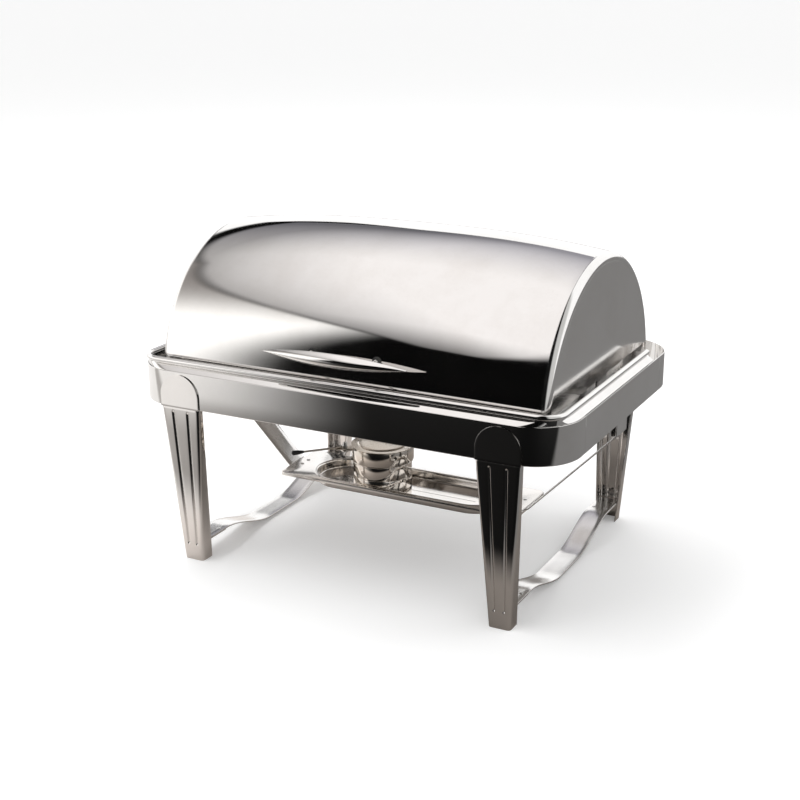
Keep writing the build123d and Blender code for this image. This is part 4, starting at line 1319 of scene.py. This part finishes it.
def shelfShape():
    t = shelf["sheet"]
    top, floor = shelf["top"], shelf["floor"]
    outer, track = shelf["half"], shelf["track"]

    def put(kind, inset, z):
        return ((kind, inset), None, z)

    def maker(values, unused):
        kind, inset = values
        if kind == "outer":
            return roundedLoop(outer[0] - inset, outer[1] - inset, shelf["corner"] - inset, 14, 24, 6)
        if kind == "floor":
            return roundedLoop(
                track[0] - inset, track[1] - min(inset, track[1] - 0.4), max(track[1] - inset, 0.4), 14,
                24, 6,
            )
        return roundedLoop(track[0] - inset, track[1] - inset, track[1] - inset - 0.01, 14, 24, 6)

    upper = [
        put("outer", 0, top - shelf["lip"]), put("outer", 0, top - 1.6), put("outer", 0.25, top - 0.7),
        put("outer", 0.8, top - 0.2), put("outer", 1.7, top),
    ]
    upper += [
        put("track", -4.6, top), put("track", -4.0, top + 0.3), put("track", -3.4, top + 0.7),
        put("track", -0.8, top + 0.75), put("track", 0.2, top + 0.35), put("track", 0.8, top - 0.6),
        put("track", 1.2, top - 1.8),
    ]
    upper += [
        put("track", 1.2, floor + 2.2), put("track", 1.6, floor + 0.9), put("track", 2.4, floor + 0.2),
        put("track", 3.6, floor), put("floor", 20, floor), put("floor", 44.4, floor),
    ]
    under = [
        put("floor", 44.4, floor - t), put("track", 3.2, floor - t), put("track", 1.4, floor - 0.9),
        put("track", 0.4, floor), put("track", 0, floor + 1.6), put("track", 0, top - t - 1.0),
        put("track", -1.0, top - t),
    ]
    under += [
        put("outer", 2.2, top - t), put("outer", 1.4, top - t - 0.6), put("outer", t, top - t - 1.2),
        put("outer", t, top - shelf["lip"]),
    ]
    stations = upper + under
    points, faces = ringOf(stations, maker, True, closedProfile=True)
    # the fold is left out where the hangers pass
    kept = []
    for face in faces:
        centre = sum((Vector(points[i]) for i in face), Vector()) / len(face)
        folded = centre.z < top - t - 1.3 and abs(centre.x) > outer[0] - 3
        if not (folded and abs(centre.y) < 21):
            kept.append(face)
    return points, kept


meshPiece("fuelShelf", "base", "strap_steel", shelfSteel, *shelfShape(), "fuel_shelf", smoothBelow=40)

hanger = {
    "foot": 165, "knee": 193, "outX": 316.6, "kneeZ": 212, "top": 240, "footZ": 85.6, "width": 40,
    "sheet": 2,
}
hangerPath = bentPath(
    [
        (hanger["foot"], 0, hanger["footZ"]), (hanger["knee"], 0, hanger["footZ"]),
        (hanger["outX"], 0, hanger["kneeZ"]), (hanger["outX"], 0, hanger["top"]),
    ],
    5,
)
hangerPart = stripAlong(hangerPath, hanger["width"], (0, 1, 0))
meshPiece(
    "hangerRight", "base", "strap_steel", strapSteel, *hangerPart, "hanger_right", merge=False,
    smoothBelow=40, thickness=hanger["sheet"], bevel=0.45,
)
meshPiece(
    "hangerLeft", "base", "strap_steel", strapSteel, *mirrored(hangerPart, 0), "hanger_left",
    merge=False, smoothBelow=40, thickness=hanger["sheet"], bevel=0.45,
)

holder = {
    "x": -45,
    "radius": 43,
    "low": 74.7,
    "top": 128.7,
    "sheet": 1.0,
    "collar": 46,
    "collarLow": 116.7,
    "collarTop": 137.7,
    "bead": 115.7,
    "beadRadius": 1.0,
    "angle": 227,
    "holeFromLever": 95,
    "hole": 2.5,
    "holeDrop": 8.0,
}
centre = (holder["x"], 0, 0)
cup, low, top = holder["radius"], holder["low"], holder["top"]
inside = cup - holder["sheet"]
cupProfile = [
    (0.05, low + 1.0), (30, low + 1.0), (38.5, low + 1.05), (inside - 0.8, low + 1.9), (inside, low + 3.9),
    (inside, top - 0.4), (inside + 0.3, top), (cup - 0.3, top), (cup, top - 0.4),
    # a shallow groove round the cup
    (cup, 95.4), (cup - 0.25, 94.8), (cup - 0.25, 93.8), (cup, 93.2),
    (cup, low + 3.3), (cup - 0.5, low + 1.5), (cup - 1.6, low + 0.3), (39.8, low),
    (36, low), (35, low + 0.6), (0.05, low + 0.6),
]
meshPiece(
    "fuelCup", "fuel_holder", "burner_steel", burnerSteel,
    *lathe(cupProfile, centre, (0, 0, 1), 128, closed=True), "fuel_cup", smoothBelow=38,
)
ring, low, top = holder["collar"], holder["collarLow"], holder["collarTop"]
inside = ring - holder["sheet"]
collarProfile = [
    (cup + 0.02, low + 0.05), (ring - 1.2, low), (ring - 0.3, low + 0.4), (ring, low + 1.2),
    (ring, top - 0.7), (ring - 0.15, top - 0.2), (ring - 0.5, top), (inside + 0.15, top - 0.2),
    (inside, top - 0.7), (inside, low + 1.7), (inside - 0.4, low + 1.1), (cup + 0.02, low + 1.0),
]
collarPiece = meshPiece(
    "fuelCollar", "fuel_holder", "burner_steel", burnerSteel,
    *lathe(collarProfile, centre, (0, 0, 1), 128, closed=True), "fuel_collar", smoothBelow=38,
)

# the draught hole is cut through the collar
holeAngle = radians(holder["angle"] + holder["holeFromLever"])
cutterProfile = [(0.0, 35), (holder["hole"], 35), (holder["hole"], 60), (0.0, 60)]
cutterOrigin = (holder["x"], 0, holder["collarTop"] - holder["holeDrop"])
cutterPoints, cutterFaces = lathe(cutterProfile, cutterOrigin, (cos(holeAngle), sin(holeAngle), 0), 32)
cutterMesh = bpy.data.meshes.new("draughtCutter")
cutterMesh.from_pydata([tuple(c * mm for c in p) for p in cutterPoints], [], cutterFaces)
cutter = bpy.data.objects.new("draughtCutter", cutterMesh)
bpy.context.scene.collection.objects.link(cutter)
work = bmesh.new()
work.from_mesh(cutterMesh)
bmesh.ops.remove_doubles(work, verts=work.verts, dist=1e-6)
bmesh.ops.recalc_face_normals(work, faces=work.faces)
work.to_mesh(cutterMesh)
work.free()
cut = collarPiece.modifiers.new("hole", "BOOLEAN")
cut.object = cutter
cut.operation = "DIFFERENCE"
cut.solver = "EXACT"
applied(collarPiece)
bpy.data.objects.remove(cutter)

bead = holder["beadRadius"]
beadRing = [
    (cup + bead + bead * cos(radians(a)), holder["bead"] + bead * sin(radians(a)))
    for a in range(0, 360, 30)
]
meshPiece(
    "collarBead", "fuel_holder", "burner_steel", burnerSteel,
    *lathe(beadRing, centre, (0, 0, 1), 128, closed=True), "collar_bead", smoothBelow=60,
)

damper = {"low": 138.0, "sheet": 1.0, "crown": 1.6, "pivot": 57, "tongue": 72, "arm": 12, "pinHole": 2.08}
out = Vector((cos(radians(holder["angle"])), sin(radians(holder["angle"])), 0))
side = Vector((-out.y, out.x, 0))


def alongLever(u, v, z):
    return Vector((holder["x"], 0, 0)) + out * u + side * v + Vector((0, 0, z))


def leverPlace(z):
    return Matrix(
        ((out.x, side.x, 0, holder["x"] * mm), (out.y, side.y, 0, 0), (0, 0, 1, z * mm), (0, 0, 0, 1))
    )


def ringPoints(radius, centreU, steps=24):
    return [
        (centreU + radius * cos(2 * pi * k / steps), radius * sin(2 * pi * k / steps))
        for k in range(steps)
    ]


halfArm = damper["arm"] / 2
armAngle = asin(halfArm / holder["collar"])
discOutline = [
    (holder["collar"] * cos(a), holder["collar"] * sin(a))
    for a in [armAngle + (2 * pi - 2 * armAngle) * k / 120 for k in range(121)]
]
discOutline += [
    (damper["tongue"] - 2, -halfArm), (damper["tongue"], -halfArm + 2), (damper["tongue"], halfArm - 2),
    (damper["tongue"] - 2, halfArm),
]
disc = flatPlate(
    discOutline, [ringPoints(damper["pinHole"], damper["pivot"])], damper["sheet"],
    leverPlace(damper["low"] + 0.5), bevel=0.2,
)
crownTop = damper["low"] + damper["sheet"] + damper["crown"]
crownPart = lathe(
    [
        (37.0, damper["low"] + 0.9), (36.4, damper["low"] + 1.02), (35.4, damper["low"] + 1.5),
        (34.6, crownTop - 0.12), (33.9, crownTop - 0.01), (30, crownTop), (18, crownTop),
        (0.05, crownTop),
    ],
    centre, (0, 0, 1), 96,
)
meshPiece(
    "damperDisc", "damper", "burner_steel", burnerSteel, *joinParts([disc, crownPart]), "damper_lid",
    merge=False, smoothBelow=35,
)

lugAngle = asin(halfArm / holder["collar"])
lugOutline = [
    (holder["collar"] * cos(a), holder["collar"] * sin(a))
    for a in [lugAngle - 2 * lugAngle * k / 8 for k in range(9)]
]
lugOutline += [
    (damper["pivot"] + halfArm * cos(radians(a)), halfArm * sin(radians(a)))
    for a in range(-90, 91, 12)
]
meshPiece(
    "damperLug", "fuel_holder", "burner_steel", burnerSteel,
    *flatPlate(lugOutline, [ringPoints(2.0, damper["pivot"])], 2.0, leverPlace(135.7), bevel=0.25),
    "damper_lug", merge=False,
)

pinProfile = [
    (0.02, 132.7), (3.6, 132.7), (4.0, 133.1), (4.0, 134.3), (3.7, 134.7), (2.0, 134.7), (2.0, 139.3),
    (3.2, 139.3), (3.4, 139.5), (3.4, 146.0), (3.1, 146.8), (2.4, 147.25), (0.02, 147.3),
]
meshPiece(
    "damperPin", "fuel_holder", "fastener_steel", fastenerSteel,
    *lathe(pinProfile, alongLever(damper["pivot"], 0, 0), (0, 0, 1), 36), "damper_pin", smoothBelow=38,
)

lever = {
    "start": 61.0, "reach": 64.0, "z": 140.27, "radius": 1.6, "knob": 3.6, "knobLength": 18,
    "overlap": 6,
}
rodProfile = [(0.02, 0.0), (1.2, 0.05), (1.6, 0.5), (1.6, lever["reach"]), (0.02, lever["reach"])]
meshPiece(
    "damperLever", "damper", "burner_steel", burnerSteel,
    *lathe(rodProfile, alongLever(lever["start"], 0, lever["z"]), out, 28), "damper_lever",
    smoothBelow=40,
)
knobStart = lever["start"] + lever["reach"] - lever["overlap"]
knobProfile = [(1.62, 0.0)] + [
    (lever["knob"] * (0.52 + 0.48 * sin(pi * min(s * 1.15, 1) ** 0.9 * 0.5)), lever["knobLength"] * s)
    for s in [k / 14 for k in range(11)]
]
knobProfile += [
    (lever["knob"] * c, lever["knobLength"] - lever["knob"] * 0.9 * (1 - d))
    for c, d in ((0.99, 0.1), (0.93, 0.4), (0.80, 0.66), (0.58, 0.86), (0.30, 0.97), (0.005, 1.0))
]
meshPiece(
    "leverKnob", "damper", "knob_plastic", blackKnob,
    *lathe(knobProfile, alongLever(knobStart, 0, lever["z"]), out, 40), "lever_knob", smoothBelow=60,
)
print("fuel shelf and holder made")

keptFinishes = {
    "pivot_bracket": fastenerSteel,
    "pivot_pin": fastenerSteel,
    "pivot_plate": fastenerSteel,
    "pivot_washer": nylonWasher,
    "strap_tab": strapSteel,
    "lid_bumpers": bumperRubber,
    "handle_screws": fastenerSteel,
}
for name, node in nodes.items():
    if node.hide_render:
        continue
    finish = next(
        (material for start, material in keptFinishes.items() if name.startswith(start)), fastenerSteel,
    )
    node.data.materials.clear()
    node.data.materials.append(finish)
    print("kept", name)
